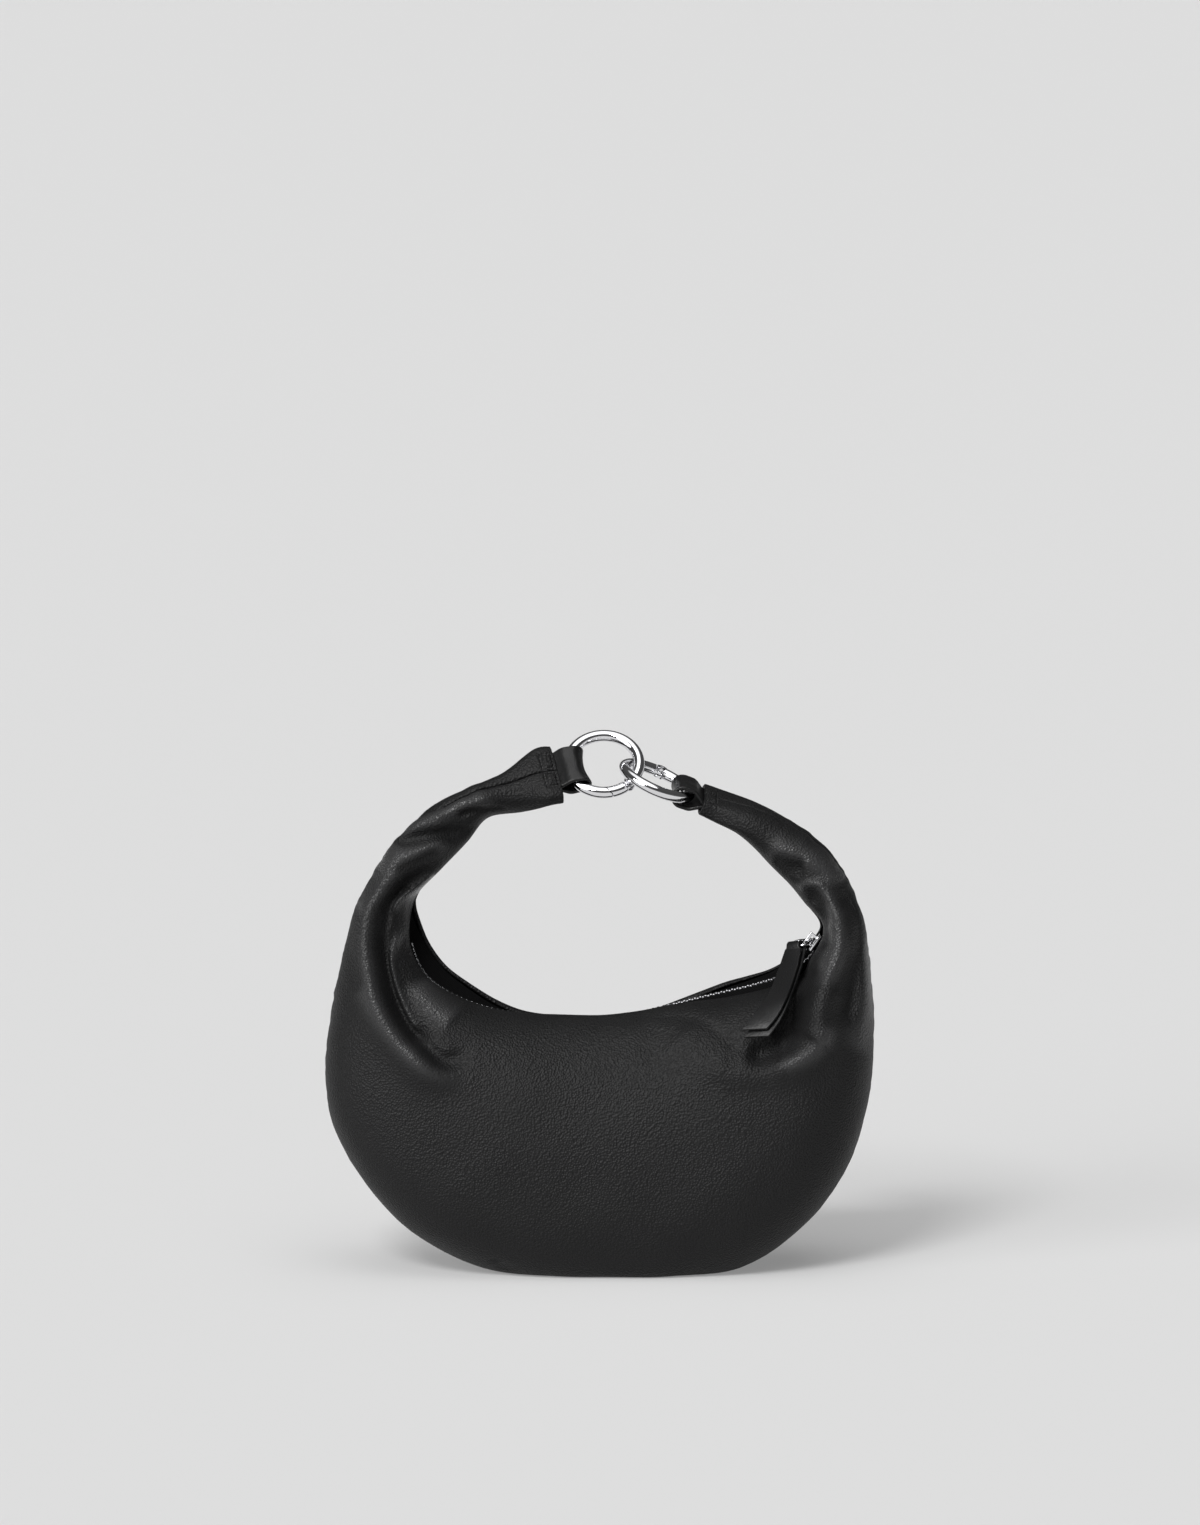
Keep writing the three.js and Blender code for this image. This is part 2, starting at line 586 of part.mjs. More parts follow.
// Pull tab: one strip folded over the link, with both tails lying on the front panel
function pullTab(name, panelMesh) {
  panelMesh.updateMatrixWorld();
  const sight = new THREE.Vector3(0, Math.cos(foldView * RAD), -Math.sin(foldView * RAD));
  const upright = new THREE.Vector3(0, Math.sin(foldView * RAD), Math.cos(foldView * RAD));
  const foldRadius = linkWire / 2 + 1.4 * fitGap + tabLeather / 2;
  const hang = new THREE.Vector3(0, 0, -1).addScaledVector(linkAcross, linkAcross.z).normalize();
  const ahead = new THREE.Vector3().crossVectors(hang, linkAcross).normalize();
  if (ahead.y > 0) ahead.negate();
  const acrossAt = (t) => linkAcross.clone()
    .lerp(acrossTab(tabEndTurn, tabEndTilt), THREE.MathUtils.smoothstep(t, 0.4, 1)).normalize();
  // Where the tab would touch the panel, along the sight line of each point of its middle line
  const touches = [];
  tabLine.forEach(([x, z], i) => {
    const seen = combine(new THREE.Vector3(x * bagWidth, 0, 0), [upright, z * bagHeight],
      [sight, -2 * bagDepth]);
    const reaches = [-1, 0, 1].flatMap((sign) => {
      const start = combine(seen, [acrossAt((i + 1) / tabLine.length), sign * tabWidth / 2]);
      return new THREE.Raycaster(start, sight).intersectObject(panelMesh).slice(0, 1);
    });
    if (reaches.length === 0) return;
    touches.push(combine(seen, [sight, Math.min(...reaches.map((hit) => hit.distance))]));
  });
  const chord = touches[touches.length - 1].clone().sub(touches[0]).normalize();
  const lie = new THREE.Vector3().crossVectors(chord, linkAcross).normalize();
  if (lie.y > 0) lie.negate();
  const tailSteps = 10;
  const tail = (layer) => {
    const lying = touches.map((touch, i) => {
      const spread = tabLeather + tailGap + (tailSpread - tailGap) * (i + 1) / touches.length;
      return combine(touch, [sight, -tabLift - spread], [lie, (layer - 1) * spread]);
    });
    if (layer === 0) lying[lying.length - 1].addScaledVector(chord, rearLonger);
    const top = combine(foldAt, [ahead, (layer ? 1 : -1) * foldRadius]);
    const below = combine(top, [hang, linkWire]);
    const path = new THREE.CatmullRomCurve3([top, below, ...lying], false, 'centripetal');
    return Array.from({ length: tailSteps + 1 }, (_, i) => {
      const t = i / tailSteps;
      const tangent = path.getTangent(t);
      const wide = tabNeck + (tabWidth - tabNeck) * THREE.MathUtils.smoothstep(t, 0, 0.4);
      return { point: path.getPoint(t), side: acrossAt(t), tangent, wide };
    });
  };
  const rearStations = tail(0);
  const frontStations = tail(1);
  const stations = [];
  rearStations.reverse().forEach((s) => stations.push({ ...s, tangent: s.tangent.negate() }));
  const bendSteps = 5;
  for (let i = 1; i < bendSteps; i++) {
    const a = Math.PI * i / bendSteps;
    const out = combine(new THREE.Vector3(), [ahead, -Math.cos(a)], [hang, -Math.sin(a)]);
    const tangent = combine(new THREE.Vector3(), [ahead, Math.sin(a)], [hang, -Math.cos(a)]);
    stations.push({ point: combine(foldAt, [out, foldRadius]), side: linkAcross, tangent, wide: tabNeck });
  }
  frontStations.forEach((s) => stations.push(s));
  const rings = stations.map(({ point, side, tangent, wide }) => {
    const face = new THREE.Vector3().crossVectors(side, tangent).normalize();
    const corner = (a, b) => combine(point, [side, a * wide / 2], [face, b * tabLeather / 2]);
    return [corner(-1, -1), corner(1, -1), corner(1, 1), corner(-1, 1)];
  });
  return add(name, loft(rings), blackLeather);
}

// Leather loop: a strip round the ring's wire, its two tails together inside the hem. thick points
// through the strip.
function loop(name, hem, frame) {
  const flat = loopGap + loopLeather / 2;
  const bendRadius = ringWire / 2 + loopFit + loopLeather / 2;
  const edgeReach = ringRadius - Math.sqrt(ringRadius ** 2 - (loopWidth / 2) ** 2);
  const foldReach = loopReach + edgeReach;
  const pinch = Math.acos((bendRadius - flat) / loopReach);
  const half = [[-hemDepth, flat], [-hemDepth / 2, flat], [-0.3, flat]];
  const turnSteps = 3;
  for (let i = 0; i <= turnSteps; i++) {
    const a = Math.PI - pinch + (pinch - Math.PI / 2) * i / turnSteps;
    half.push([loopReach + bendRadius * Math.cos(a), bendRadius * Math.sin(a)]);
  }
  const foldSteps = 5;
  for (let i = 0; i <= foldSteps; i++) {
    const a = Math.PI / 2 * (1 - i / foldSteps);
    half.push([foldReach + bendRadius * Math.cos(a), bendRadius * Math.sin(a)]);
  }
  const path = [...half, ...half.slice(0, -1).reverse().map(([a, b]) => [a, -b])];
  const edge = (sign) => path.map(([x, y], i) => {
    const before = path[Math.max(i - 1, 0)];
    const after = path[Math.min(i + 1, path.length - 1)];
    const length = Math.hypot(after[0] - before[0], after[1] - before[1]);
    const nx = -(after[1] - before[1]) / length;
    const ny = (after[0] - before[0]) / length;
    return [x + sign * nx * loopLeather / 2, y + sign * ny * loopLeather / 2];
  });
  const outline = [...edge(1), ...edge(-1).reverse()];
  const rings = [-1, 1].map((end) => outline.map(([x, y]) => combine(hem,
    [frame.out, x], [frame.face, y], [frame.side, end * loopWidth / 2])));
  return add(name, loft(rings), blackLeather);
}

// Spring ring with its gate and pin, drawn flat with the pin on +X, then turned into its place
function springRing(side, frame, at, hingeDegrees) {
  const sweep = gateLength / ringRadius;
  const turned = new THREE.Matrix4().makeRotationZ(hingeDegrees * RAD);
  const place = frameMatrix(frame.out, frame.side, frame.face, at).multiply(turned);
  const pinAt = moved(ringRadius, 0, 0);
  const knuckleHalf = ringWire / 2 - 0.1;
  const spare = 0.25;
  const arc = (from, to, steps) => {
    const rings = [];
    for (let i = 0; i <= steps; i++) {
      const a = from + (to - from) * i / steps;
      const outward = new THREE.Vector3(Math.cos(a), Math.sin(a), 0);
      rings.push(circle(outward.clone().multiplyScalar(ringRadius), outward,
        new THREE.Vector3(0, 0, 1), ringWire / 2, wireSides));
    }
    return solidOf(loft(rings));
  };
  // Nose: both ends are cut by parallel planes that lean back from the line between pin and nose
  const cutAngle = -Math.PI / 2 - sweep / 2 + noseCut * RAD;
  const nose = new THREE.Vector3(ringRadius * Math.cos(sweep), -ringRadius * Math.sin(sweep), 0);
  const cutBlock = (edge, way) => {
    const size = 2 * ringWire;
    const turn = new THREE.Matrix4().makeRotationZ(cutAngle).setPosition(nose);
    return boxSolid(size, size, size, turn.multiply(moved(edge + way * size / 2, 0, 0)));
  };
  const hole = rodSolid(pinRadius + pinClearance, 2 * ringWire, pinAt);
  const slotReach = knuckleRadius + 0.6;
  const body = arc(0, 2 * Math.PI - sweep + spare, 30)
    .add(rodSolid(knuckleRadius, 2 * knuckleHalf, pinAt))
    .subtract(boxSolid(2 * ringWire, 2 * slotReach, forkSlot, pinAt))
    .subtract(hole)
    .subtract(cutBlock(noseGap, -1));
  const gateStart = (knuckleRadius + fitGap) / ringRadius;
  const slotAt = new THREE.Matrix4().makeRotationZ(-sweep * 0.6)
    .multiply(moved(ringRadius - ringWire / 2, 0, 0));
  const gate = arc(-sweep - spare, -gateStart, 6)
    .subtract(cutBlock(0, 1))
    .subtract(boxSolid(2 * springSlotDeep, springSlotLong, springSlot, slotAt))
    .add(rodSolid(tongueRadius, tongueThick, pinAt))
    .add(boxSolid(2 * tongueRadius, 2 * knuckleRadius, tongueThick,
      moved(ringRadius, -knuckleRadius, 0)))
    .subtract(hole);
  const pin = rodSolid(pinRadius, 2 * knuckleHalf, pinAt);
  add(`${side}_ring`, geometryOf(body).applyMatrix4(place), chrome);
  add(`${side}_gate`, geometryOf(gate).applyMatrix4(place), chrome);
  add(`${side}_gate_pin`, geometryOf(pin).applyMatrix4(place), chrome);
}

const frontPanel = panel('front_panel', 1);
panel('back_panel', -1);
zipTape('zip_tape_front', 1);
zipTape('zip_tape_back', -1);
zipChain('zip_chain');
zipSlider('zip_slider');
zipLink('zip_link');
pullTab('pull_tab', frontPanel);
springRing('left', leftFrame, leftRingAt, leftHinge);
springRing('right', rightFrame, rightRingAt, rightHinge);
loop('left_loop', leftHem, leftFrame);
loop('right_loop', rightHem, rightFrame);

export default bag;
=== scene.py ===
import math

import bpy
import numpy as np
from mathutils import Matrix, Vector, noise


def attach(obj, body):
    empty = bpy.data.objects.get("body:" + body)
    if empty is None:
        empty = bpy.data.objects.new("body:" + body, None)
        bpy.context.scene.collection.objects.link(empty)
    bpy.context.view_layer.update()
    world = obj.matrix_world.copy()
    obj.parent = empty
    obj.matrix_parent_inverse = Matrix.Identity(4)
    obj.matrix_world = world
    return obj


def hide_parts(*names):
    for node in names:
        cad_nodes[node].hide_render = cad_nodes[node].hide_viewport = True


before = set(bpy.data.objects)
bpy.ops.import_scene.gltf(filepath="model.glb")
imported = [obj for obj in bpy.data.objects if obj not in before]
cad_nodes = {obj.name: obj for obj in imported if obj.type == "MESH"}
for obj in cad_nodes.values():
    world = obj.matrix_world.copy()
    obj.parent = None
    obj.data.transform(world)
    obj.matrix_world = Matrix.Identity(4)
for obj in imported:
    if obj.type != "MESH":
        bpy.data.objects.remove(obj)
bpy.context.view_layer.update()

# Camera
# The bag is seen straight from the front and a little from above, through a long lens. The frame
# is 726 mm tall at the bag.
view_distance = 5.0
view_aim = 0.2436
view_elevation = math.radians(8)
frame_tall = 0.7262
sensor = 36
camera_data = bpy.data.cameras.new("camera")
camera_data.sensor_width = sensor
camera_data.lens = sensor * view_distance / frame_tall
camera_data.clip_end = 80
camera = bpy.data.objects.new("camera", camera_data)
bpy.context.scene.collection.objects.link(camera)
camera.location = (0, -view_distance * math.cos(view_elevation),
                   view_aim + view_distance * math.sin(view_elevation))
camera.rotation_euler = (math.pi / 2 - view_elevation, 0, 0)
bpy.context.scene.camera = camera

# Floor and light
# A pale seamless studio floor that runs far behind the bag, and a dim room with a bright ceiling.
# A small soft light in front on the left throws the shadow, a wide one overhead gives the leather
# its sheen, and a low one from the left lights the side.
floor_size = 70
floor_behind = 20
# Grey of the room: at the bottom, then at shares of the way to the top, which is white
room_low = 0.14
room_tones = ((0.3, 0.05), (0.86, 0.07), (0.94, 1))
bpy.context.scene.view_settings.view_transform = "Standard"


def select_only(*pieces):
    bpy.ops.object.select_all(action="DESELECT")
    for piece in pieces:
        piece.select_set(True)
    bpy.context.view_layer.objects.active = pieces[-1]


def empty_material(name):
    material = bpy.data.materials.new(name)
    material.use_nodes = True
    tree = material.node_tree
    return material, tree, tree.nodes["Principled BSDF"]


def add_bump(tree, shader, height, strength, distance):
    bump = tree.nodes.new("ShaderNodeBump")
    bump.inputs["Strength"].default_value = strength
    bump.inputs["Distance"].default_value = distance
    tree.links.new(height, bump.inputs["Height"])
    tree.links.new(bump.outputs["Normal"], shader.inputs["Normal"])
    return bump


bpy.ops.mesh.primitive_plane_add(size=floor_size, location=(0, floor_behind, 0))
floor = bpy.context.active_object
floor.name = "floor"
floor_material, _, floor_shader = empty_material("pale_floor")
floor_shader.inputs["Base Color"].default_value = (0.42, 0.42, 0.42, 1)
floor_shader.inputs["Emission Color"].default_value = (1, 1, 1, 1)
floor_shader.inputs["Emission Strength"].default_value = 0.235
floor_shader.inputs["Roughness"].default_value = 0.95
floor_shader.inputs["Specular IOR Level"].default_value = 0.1
floor.data.materials.append(floor_material)

world = bpy.data.worlds.new("room")
bpy.context.scene.world = world
world.use_nodes = True
room = world.node_tree
room_light = room.nodes["Background"]
room_place = room.nodes.new("ShaderNodeTexCoord")
room_split = room.nodes.new("ShaderNodeSeparateXYZ")
room.links.new(room_place.outputs["Generated"], room_split.inputs[0])
room_height = room.nodes.new("ShaderNodeValToRGB")
room.links.new(room_split.outputs["Z"], room_height.inputs[0])
heights = room_height.color_ramp.elements
heights[0].position = 0.0
heights[0].color = (room_low, room_low, room_low, 1)
heights[1].position = 1.0
heights[1].color = (1, 1, 1, 1)
for position, value in room_tones:
    heights.new(position).color = (value, value, value, 1)
room.links.new(room_height.outputs[0], room_light.inputs["Color"])
room_light.inputs["Strength"].default_value = 1.15


# Width, azimuth and elevation are in degrees. Azimuth 0 is in front, and -90 is on the left.
def add_sun(name, strength, wide, azimuth, elevation):
    data = bpy.data.lights.new(name, "SUN")
    data.energy = strength
    data.angle = math.radians(wide)
    light = bpy.data.objects.new(name, data)
    bpy.context.scene.collection.objects.link(light)
    around, up = math.radians(azimuth), math.radians(elevation)
    towards = Vector((math.sin(around) * math.cos(up), -math.cos(around) * math.cos(up),
                      math.sin(up)))
    light.rotation_euler = towards.to_track_quat("Z", "Y").to_euler()


add_sun("key_light", strength=2.3, wide=17, azimuth=-22, elevation=41)
add_sun("top_light", strength=0.8, wide=50, azimuth=5, elevation=64)
add_sun("side_light", strength=1.9, wide=38, azimuth=-46, elevation=19)

# Leather panels
# The body is two soft black leather panels sewn edge to edge round the outside. They fold over a
# zip at the mouth and run up as arms, whose ends are pressed flat round the loops.
MM = 0.001
bag_width = 262
bag_height = 250
bag_depth = 96
leather = 2
seam_gap = 0.3
lip_rise = 6
lip_dip = 1.5
lip_roll = 5
belly = 0.07
mouth_front = 5.5
mouth_back = 8.5
fold_fade = 0.18
front_fade = 3
base_round = 1.1
far_above_base = 20

columns = ["inner_x", "inner_z", "outer_x", "outer_z", "depth", "roll", "seam", "square", "mouth",
           "lip_front", "lip_back"]
sections = [
    [-0.141, 0.882, -0.179, 0.951, 0.19, 34, -80, 2.6, 0, 0, 0],
    [-0.201, 0.871, -0.246, 0.922, 0.25, 20, -62, 2.3, 0, 0, 0],
    [-0.240, 0.823, -0.318, 0.880, 0.31, 8, -42, 2.2, 0, 0, 0],
    [-0.285, 0.775, -0.372, 0.807, 0.38, 2, -22, 2.2, 0, 0, 0],
    [-0.327, 0.728, -0.412, 0.740, 0.44, 0, -8, 2.2, 0, 0, 0],
    [-0.339, 0.690, -0.441, 0.681, 0.50, 0, 0, 2.2, 0.3, 0, 0.3],
    [-0.338, 0.627, -0.470, 0.594, 0.58, 0, 0, 2.2, 0.95, 0.2, 1.5],
    [-0.313, 0.567, -0.489, 0.500, 0.68, 0, 0, 2.2, 1, 0.3, 2.0],
    [-0.264, 0.529, -0.500, 0.398, 0.79, 0, 0, 2.3, 1, 0.35, 1.7],
    [-0.202, 0.504, -0.487, 0.279, 0.89, 0, 0, 2.4, 1, 0.4, 0.9],
    [-0.145, 0.492, -0.413, 0.146, 0.96, 0, 0, 2.5, 1, 0.55, 0.2],
    [-0.089, 0.486, -0.306, 0.046, 1.00, 0, 0, 2.5, 1, 0.62, 0],
    [-0.036, 0.484, -0.164, -0.014, 1.00, 0, 0, 2.5, 1, 0.62, -0.1],
    [0.018, 0.485, 0.013, -0.038, 1.00, 0, 0, 2.5, 1, 0.62, -0.1],
    [0.073, 0.491, 0.182, -0.022, 1.00, 0, 0, 2.5, 1, 0.65, 0],
    [0.124, 0.504, 0.324, 0.042, 1.00, 0, 0, 2.5, 1, 0.6, 0.2],
    [0.176, 0.518, 0.432, 0.160, 0.96, 0, 0, 2.4, 1, 0.33, 0.5],
    [0.231, 0.532, 0.488, 0.313, 0.89, 0, 0, 2.3, 1, 0.0, 0.9],
    [0.285, 0.546, 0.501, 0.450, 0.79, 0, 0, 2.2, 1, -0.1, 1.3],
    [0.333, 0.566, 0.497, 0.548, 0.68, 0, 0, 2.2, 1, -0.05, 1.6],
    [0.380, 0.603, 0.488, 0.625, 0.58, 0, 0, 2.2, 1, -0.1, 1.7],
    [0.407, 0.656, 0.471, 0.700, 0.50, 0, 0, 2.2, 0.75, -0.2, 0.6],
    [0.374, 0.702, 0.455, 0.744, 0.45, 0, -3, 2.2, 0, 0, 0],
    [0.344, 0.741, 0.425, 0.793, 0.41, 0, -8, 2.2, 0, 0, 0],
    [0.310, 0.778, 0.382, 0.836, 0.38, -1, -12, 2.2, 0, 0, 0],
    [0.278, 0.815, 0.335, 0.867, 0.355, -3, -15, 2.3, 0, 0, 0],
    [0.245, 0.846, 0.284, 0.893, 0.345, -6, -15, 2.6, 0, 0, 0],
]

# Folds as seen from the front: height and width as shares of the depth, and a line of points as
# shares of width and height. A height below zero is a hollow.
broad_folds = [
    (0.05, 0.1, [(-0.265, 0.873), (-0.316, 0.838), (-0.371, 0.782), (-0.413, 0.676),
                 (-0.407, 0.53), (-0.336, 0.398), (-0.245, 0.362)]),
    (-0.045, 0.09, [(-0.358, 0.777), (-0.371, 0.62), (-0.344, 0.486), (-0.309, 0.429)]),
    (0.045, 0.09, [(0.42, 0.703), (0.442, 0.642), (0.423, 0.571), (0.39, 0.49), (0.362, 0.4),
                   (0.3, 0.38)]),
    (-0.045, 0.1, [(0.372, 0.6), (0.342, 0.512), (0.32, 0.436)]),
]
fine_folds = [
    (-0.03, 0.018, [(-0.15, 0.94), (-0.178, 0.931), (-0.245, 0.916), (-0.282, 0.893),
                    (-0.311, 0.867), (-0.347, 0.836)]),
    (0.045, 0.045, [(-0.17, 0.9), (-0.209, 0.895), (-0.245, 0.888), (-0.274, 0.874), (-0.3, 0.853),
                    (-0.333, 0.834), (-0.362, 0.817), (-0.391, 0.783), (-0.405, 0.756)]),
    (-0.02, 0.016, [(-0.165, 0.879), (-0.2, 0.877), (-0.235, 0.872), (-0.26, 0.862)]),
    (-0.035, 0.032, [(-0.2, 0.836), (-0.227, 0.834), (-0.274, 0.831), (-0.311, 0.823),
                     (-0.347, 0.806), (-0.36, 0.795)]),
    (0.03, 0.04, [(-0.265, 0.82), (-0.311, 0.799), (-0.347, 0.787), (-0.376, 0.775),
                  (-0.398, 0.752)]),
    (-0.02, 0.02, [(-0.29, 0.803), (-0.318, 0.788), (-0.345, 0.77), (-0.37, 0.748)]),
    (-0.06, 0.045, [(-0.28, 0.79), (-0.304, 0.775), (-0.333, 0.752), (-0.362, 0.726),
                    (-0.382, 0.699), (-0.393, 0.665), (-0.396, 0.627), (-0.391, 0.577),
                    (-0.38, 0.531), (-0.362, 0.49), (-0.333, 0.448), (-0.304, 0.41),
                    (-0.278, 0.396), (-0.249, 0.41), (-0.233, 0.44)]),
    (0.06, 0.055, [(-0.28, 0.8), (-0.304, 0.789), (-0.34, 0.768), (-0.373, 0.743), (-0.391, 0.714),
                   (-0.409, 0.684), (-0.418, 0.646), (-0.423, 0.615), (-0.42, 0.577),
                   (-0.4126, 0.531), (-0.394, 0.478), (-0.365, 0.436), (-0.3326, 0.402),
                   (-0.3, 0.379), (-0.26, 0.364), (-0.209, 0.345)]),
    (0.035, 0.03, [(-0.295, 0.755), (-0.309, 0.741), (-0.334, 0.717), (-0.359, 0.698),
                   (-0.379, 0.672)]),
    (0.025, 0.022, [(-0.346, 0.66), (-0.358, 0.625), (-0.37, 0.59), (-0.365, 0.555),
                    (-0.352, 0.51), (-0.336, 0.47), (-0.325, 0.448)]),
    (-0.02, 0.035, [(-0.427, 0.69), (-0.436, 0.64), (-0.438, 0.58), (-0.43, 0.52)]),
    (0.03, 0.06, [(-0.33, 0.56), (-0.31, 0.52), (-0.284, 0.492), (-0.258, 0.472)]),
    (0.03, 0.06, [(0.295, 0.802), (0.345, 0.793), (0.39, 0.778), (0.42, 0.757), (0.438, 0.728)]),
    (0.05, 0.042, [(0.385, 0.73), (0.41, 0.71), (0.428, 0.683), (0.439, 0.65), (0.441, 0.615),
                   (0.431, 0.585), (0.413, 0.555), (0.395, 0.525)]),
    (0.055, 0.1, [(0.41, 0.55), (0.398, 0.5), (0.395, 0.46), (0.38, 0.43)]),
    (0.025, 0.04, [(0.418, 0.475), (0.408, 0.438), (0.383, 0.412), (0.355, 0.4), (0.31, 0.39)]),
    (0.035, 0.08, [(0.34, 0.393), (0.3, 0.385), (0.25, 0.378), (0.19, 0.378)]),
    (-0.05, 0.05, [(0.43, 0.725), (0.452, 0.69), (0.458, 0.64), (0.458, 0.57), (0.452, 0.51),
                   (0.44, 0.46)]),
    (-0.03, 0.035, [(0.372, 0.715), (0.398, 0.7), (0.413, 0.67), (0.418, 0.635), (0.41, 0.6)]),
    (0.018, 0.024, [(0.395, 0.705), (0.418, 0.682), (0.4285, 0.65), (0.428, 0.615),
                    (0.415, 0.585), (0.395, 0.56)]),
    (-0.07, 0.06, [(0.36, 0.55), (0.352, 0.5), (0.35, 0.46), (0.33, 0.43), (0.295, 0.412),
                   (0.255, 0.408)]),
    (-0.03, 0.05, [(0.31, 0.775), (0.345, 0.767), (0.375, 0.762)]),
    (0.018, 0.022, [(0.355, 0.723), (0.372, 0.733), (0.39, 0.735), (0.41, 0.73)]),
    (0.015, 0.06, [(0.475, 0.66), (0.483, 0.6), (0.483, 0.51), (0.473, 0.45), (0.455, 0.41)]),
    (-0.012, 0.06, [(0.098, 0.473), (0.095, 0.425), (0.106, 0.37)]),
    (-0.014, 0.03, [(-0.05, 0.472), (0.036, 0.478), (0.12, 0.481), (0.175, 0.475), (0.21, 0.455),
                    (0.24, 0.43), (0.27, 0.418)]),
    (0.02, 0.09, [(0.14, 0.46), (0.165, 0.43), (0.19, 0.395), (0.22, 0.365)]),
    (-0.02, 0.014, [(-0.29, 0.045), (-0.28, 0.022), (-0.255, 0.014)]),
    (-0.016, 0.014, [(-0.195, 0.022), (-0.18, 0.004), (-0.15, 0.0)]),
]


def rolled(x, y, z, degrees):
    c, s = math.cos(math.radians(degrees)), math.sin(math.radians(degrees))
    return np.array((x, y * c + z * s, z * c - y * s))


# The arms' ends: middle, direction to the ring, depth of the hem, width, thickness, and in
# degrees the lean, the roll and the seam's place round the end
left_end = np.array((-20.414, -0.881, 237.837))
left_out = np.array((0.9759, 0.1515, 0.1569))
right_end = np.array((48.266, 2.056, 225.716))
right_out = np.array((-0.9184, -0.0605, 0.3909))
hem_depth = 8
arm_width = 30.5
arm_thick = 9.6
hem_swell = 1.15
left_lean, left_roll, left_seam = 12.6, 44, -90
right_lean, right_roll, right_seam = 23.3, -8.8, -10


def end_row(middle, lean, roll, span, depth, seam):
    x = math.sin(math.radians(lean)) * span / 2
    z = math.cos(math.radians(lean)) * span / 2
    return dict(inner_x=middle[0] - x, inner_z=middle[2] - z, outer_x=middle[0] + x,
                outer_z=middle[2] + z, middle_y=middle[1], depth=depth, roll=roll, seam=seam,
                square=4, mouth=0, lip_front=0, lip_back=0)


def table_row(shares):
    row = dict(zip(columns, shares))
    for name in ("inner_x", "outer_x"):
        row[name] *= bag_width
    for name in ("inner_z", "outer_z"):
        row[name] *= bag_height
    row["depth"] *= bag_depth
    row["lip_front"] *= lip_rise
    row["lip_back"] *= lip_rise
    row["middle_y"] = 0
    return row


swollen = arm_thick * hem_swell
left_hem = left_end - left_out * hem_depth
right_hem = right_end - right_out * hem_depth
rows = [end_row(left_end, -left_lean, left_roll, arm_width, arm_thick, left_seam),
        end_row(left_hem, -left_lean, left_roll, arm_width, swollen, left_seam)]
rows += [table_row(shares) for shares in sections]
rows += [end_row(right_hem, right_lean, right_roll, swollen, arm_width, right_seam),
         end_row(right_end, right_lean, right_roll, arm_thick, arm_width, right_seam)]
row_names = list(rows[0])
row_values = np.array([[row[name] for name in row_names] for row in rows], float)
last_row = len(rows) - 1


# Smooth curve through four even points, from the second at share 0 to the third at share 1
def smooth_between(a, b, c, d, t):
    return 0.5 * (2 * b + (c - a) * t + (2 * a - 5 * b + 4 * c - d) * t * t
                  + (3 * b - a - 3 * c + d) * t ** 3)


# One section of the bag. Place counts the rows from the left arm's end to the right arm's end.
def section_at(place):
    i = min(int(place), last_row - 1)
    a, b, c, d = (row_values[n] for n in (max(i - 1, 0), i, i + 1, min(i + 2, last_row)))
    row = dict(zip(row_names, smooth_between(a, b, c, d, place - i)))
    row["mouth"] = max(row["mouth"], 0)
    dx = row["outer_x"] - row["inner_x"]
    dz = row["outer_z"] - row["inner_z"]
    span = math.hypot(dx, dz)
    row["half"] = span / 2
    row["along"] = rolled(dx / span, 0, dz / span, row["roll"])
    row["across"] = rolled(0, 1, 0, row["roll"])
    row["middle"] = np.array(((row["inner_x"] + row["outer_x"]) / 2, row["middle_y"],
                              (row["inner_z"] + row["outer_z"]) / 2))
    return row


# Points of a section's skin without folds, the given inset under it. Turn 0 is on the mouth's
# side, and a quarter turn is at the front.
def plain_skin(row, turn, inset):
    c, s = np.cos(turn), np.sin(turn)
    square = row["square"]
    fit = (np.abs(c) ** square + np.abs(s) ** square) ** (-1 / square)
    over = -(row["depth"] / 2 - inset) * s * fit
    full = min(1, row["mouth"])
    up = -(row["half"] - inset) * c * fit + belly * full * row["half"] * s * s
    lip = np.where(s > 0, row["lip_front"], row["lip_back"])
    opening = row["mouth"] * np.where(s > 0, mouth_front, mouth_back)
    roll = (np.abs(over) - opening) / lip_roll
    up = up + np.where(c > 0, lip_dip * full * np.exp(-roll * roll) - c * c * lip, 0)
    point = row["middle"] + up[:, None] * row["along"] + over[:, None] * row["across"]
    low = (point[:, 2] - inset) / base_round
    eased = np.log1p(np.exp(np.minimum(low, far_above_base)))
    point[:, 2] = inset + base_round * np.where(low > far_above_base, low, eased)
    return point


# A fold's line in mm, made smooth
def fold_points(line, count=40):
    knots = np.array(line) * (bag_width, bag_height)
    chain = np.vstack([2 * knots[0] - knots[1], knots, 2 * knots[-1] - knots[-2]])
    spans = len(knots) - 1
    points = []
    for i in range(count + 1):
        place = min(i / count * spans, spans - 1e-6)
        k = int(place)
        points.append(smooth_between(*chain[k:k + 4], place - k))
    return np.array(points)


broad_lines, fine_lines = ([(height * bag_depth, width * bag_depth, fold_points(line))
                            for height, width, line in folds] for folds in (broad_folds, fine_folds))
polish_highlight_height = 2
polish_highlight_width = 7
towards_eye = np.array((0, -math.cos(view_elevation), math.sin(view_elevation)))
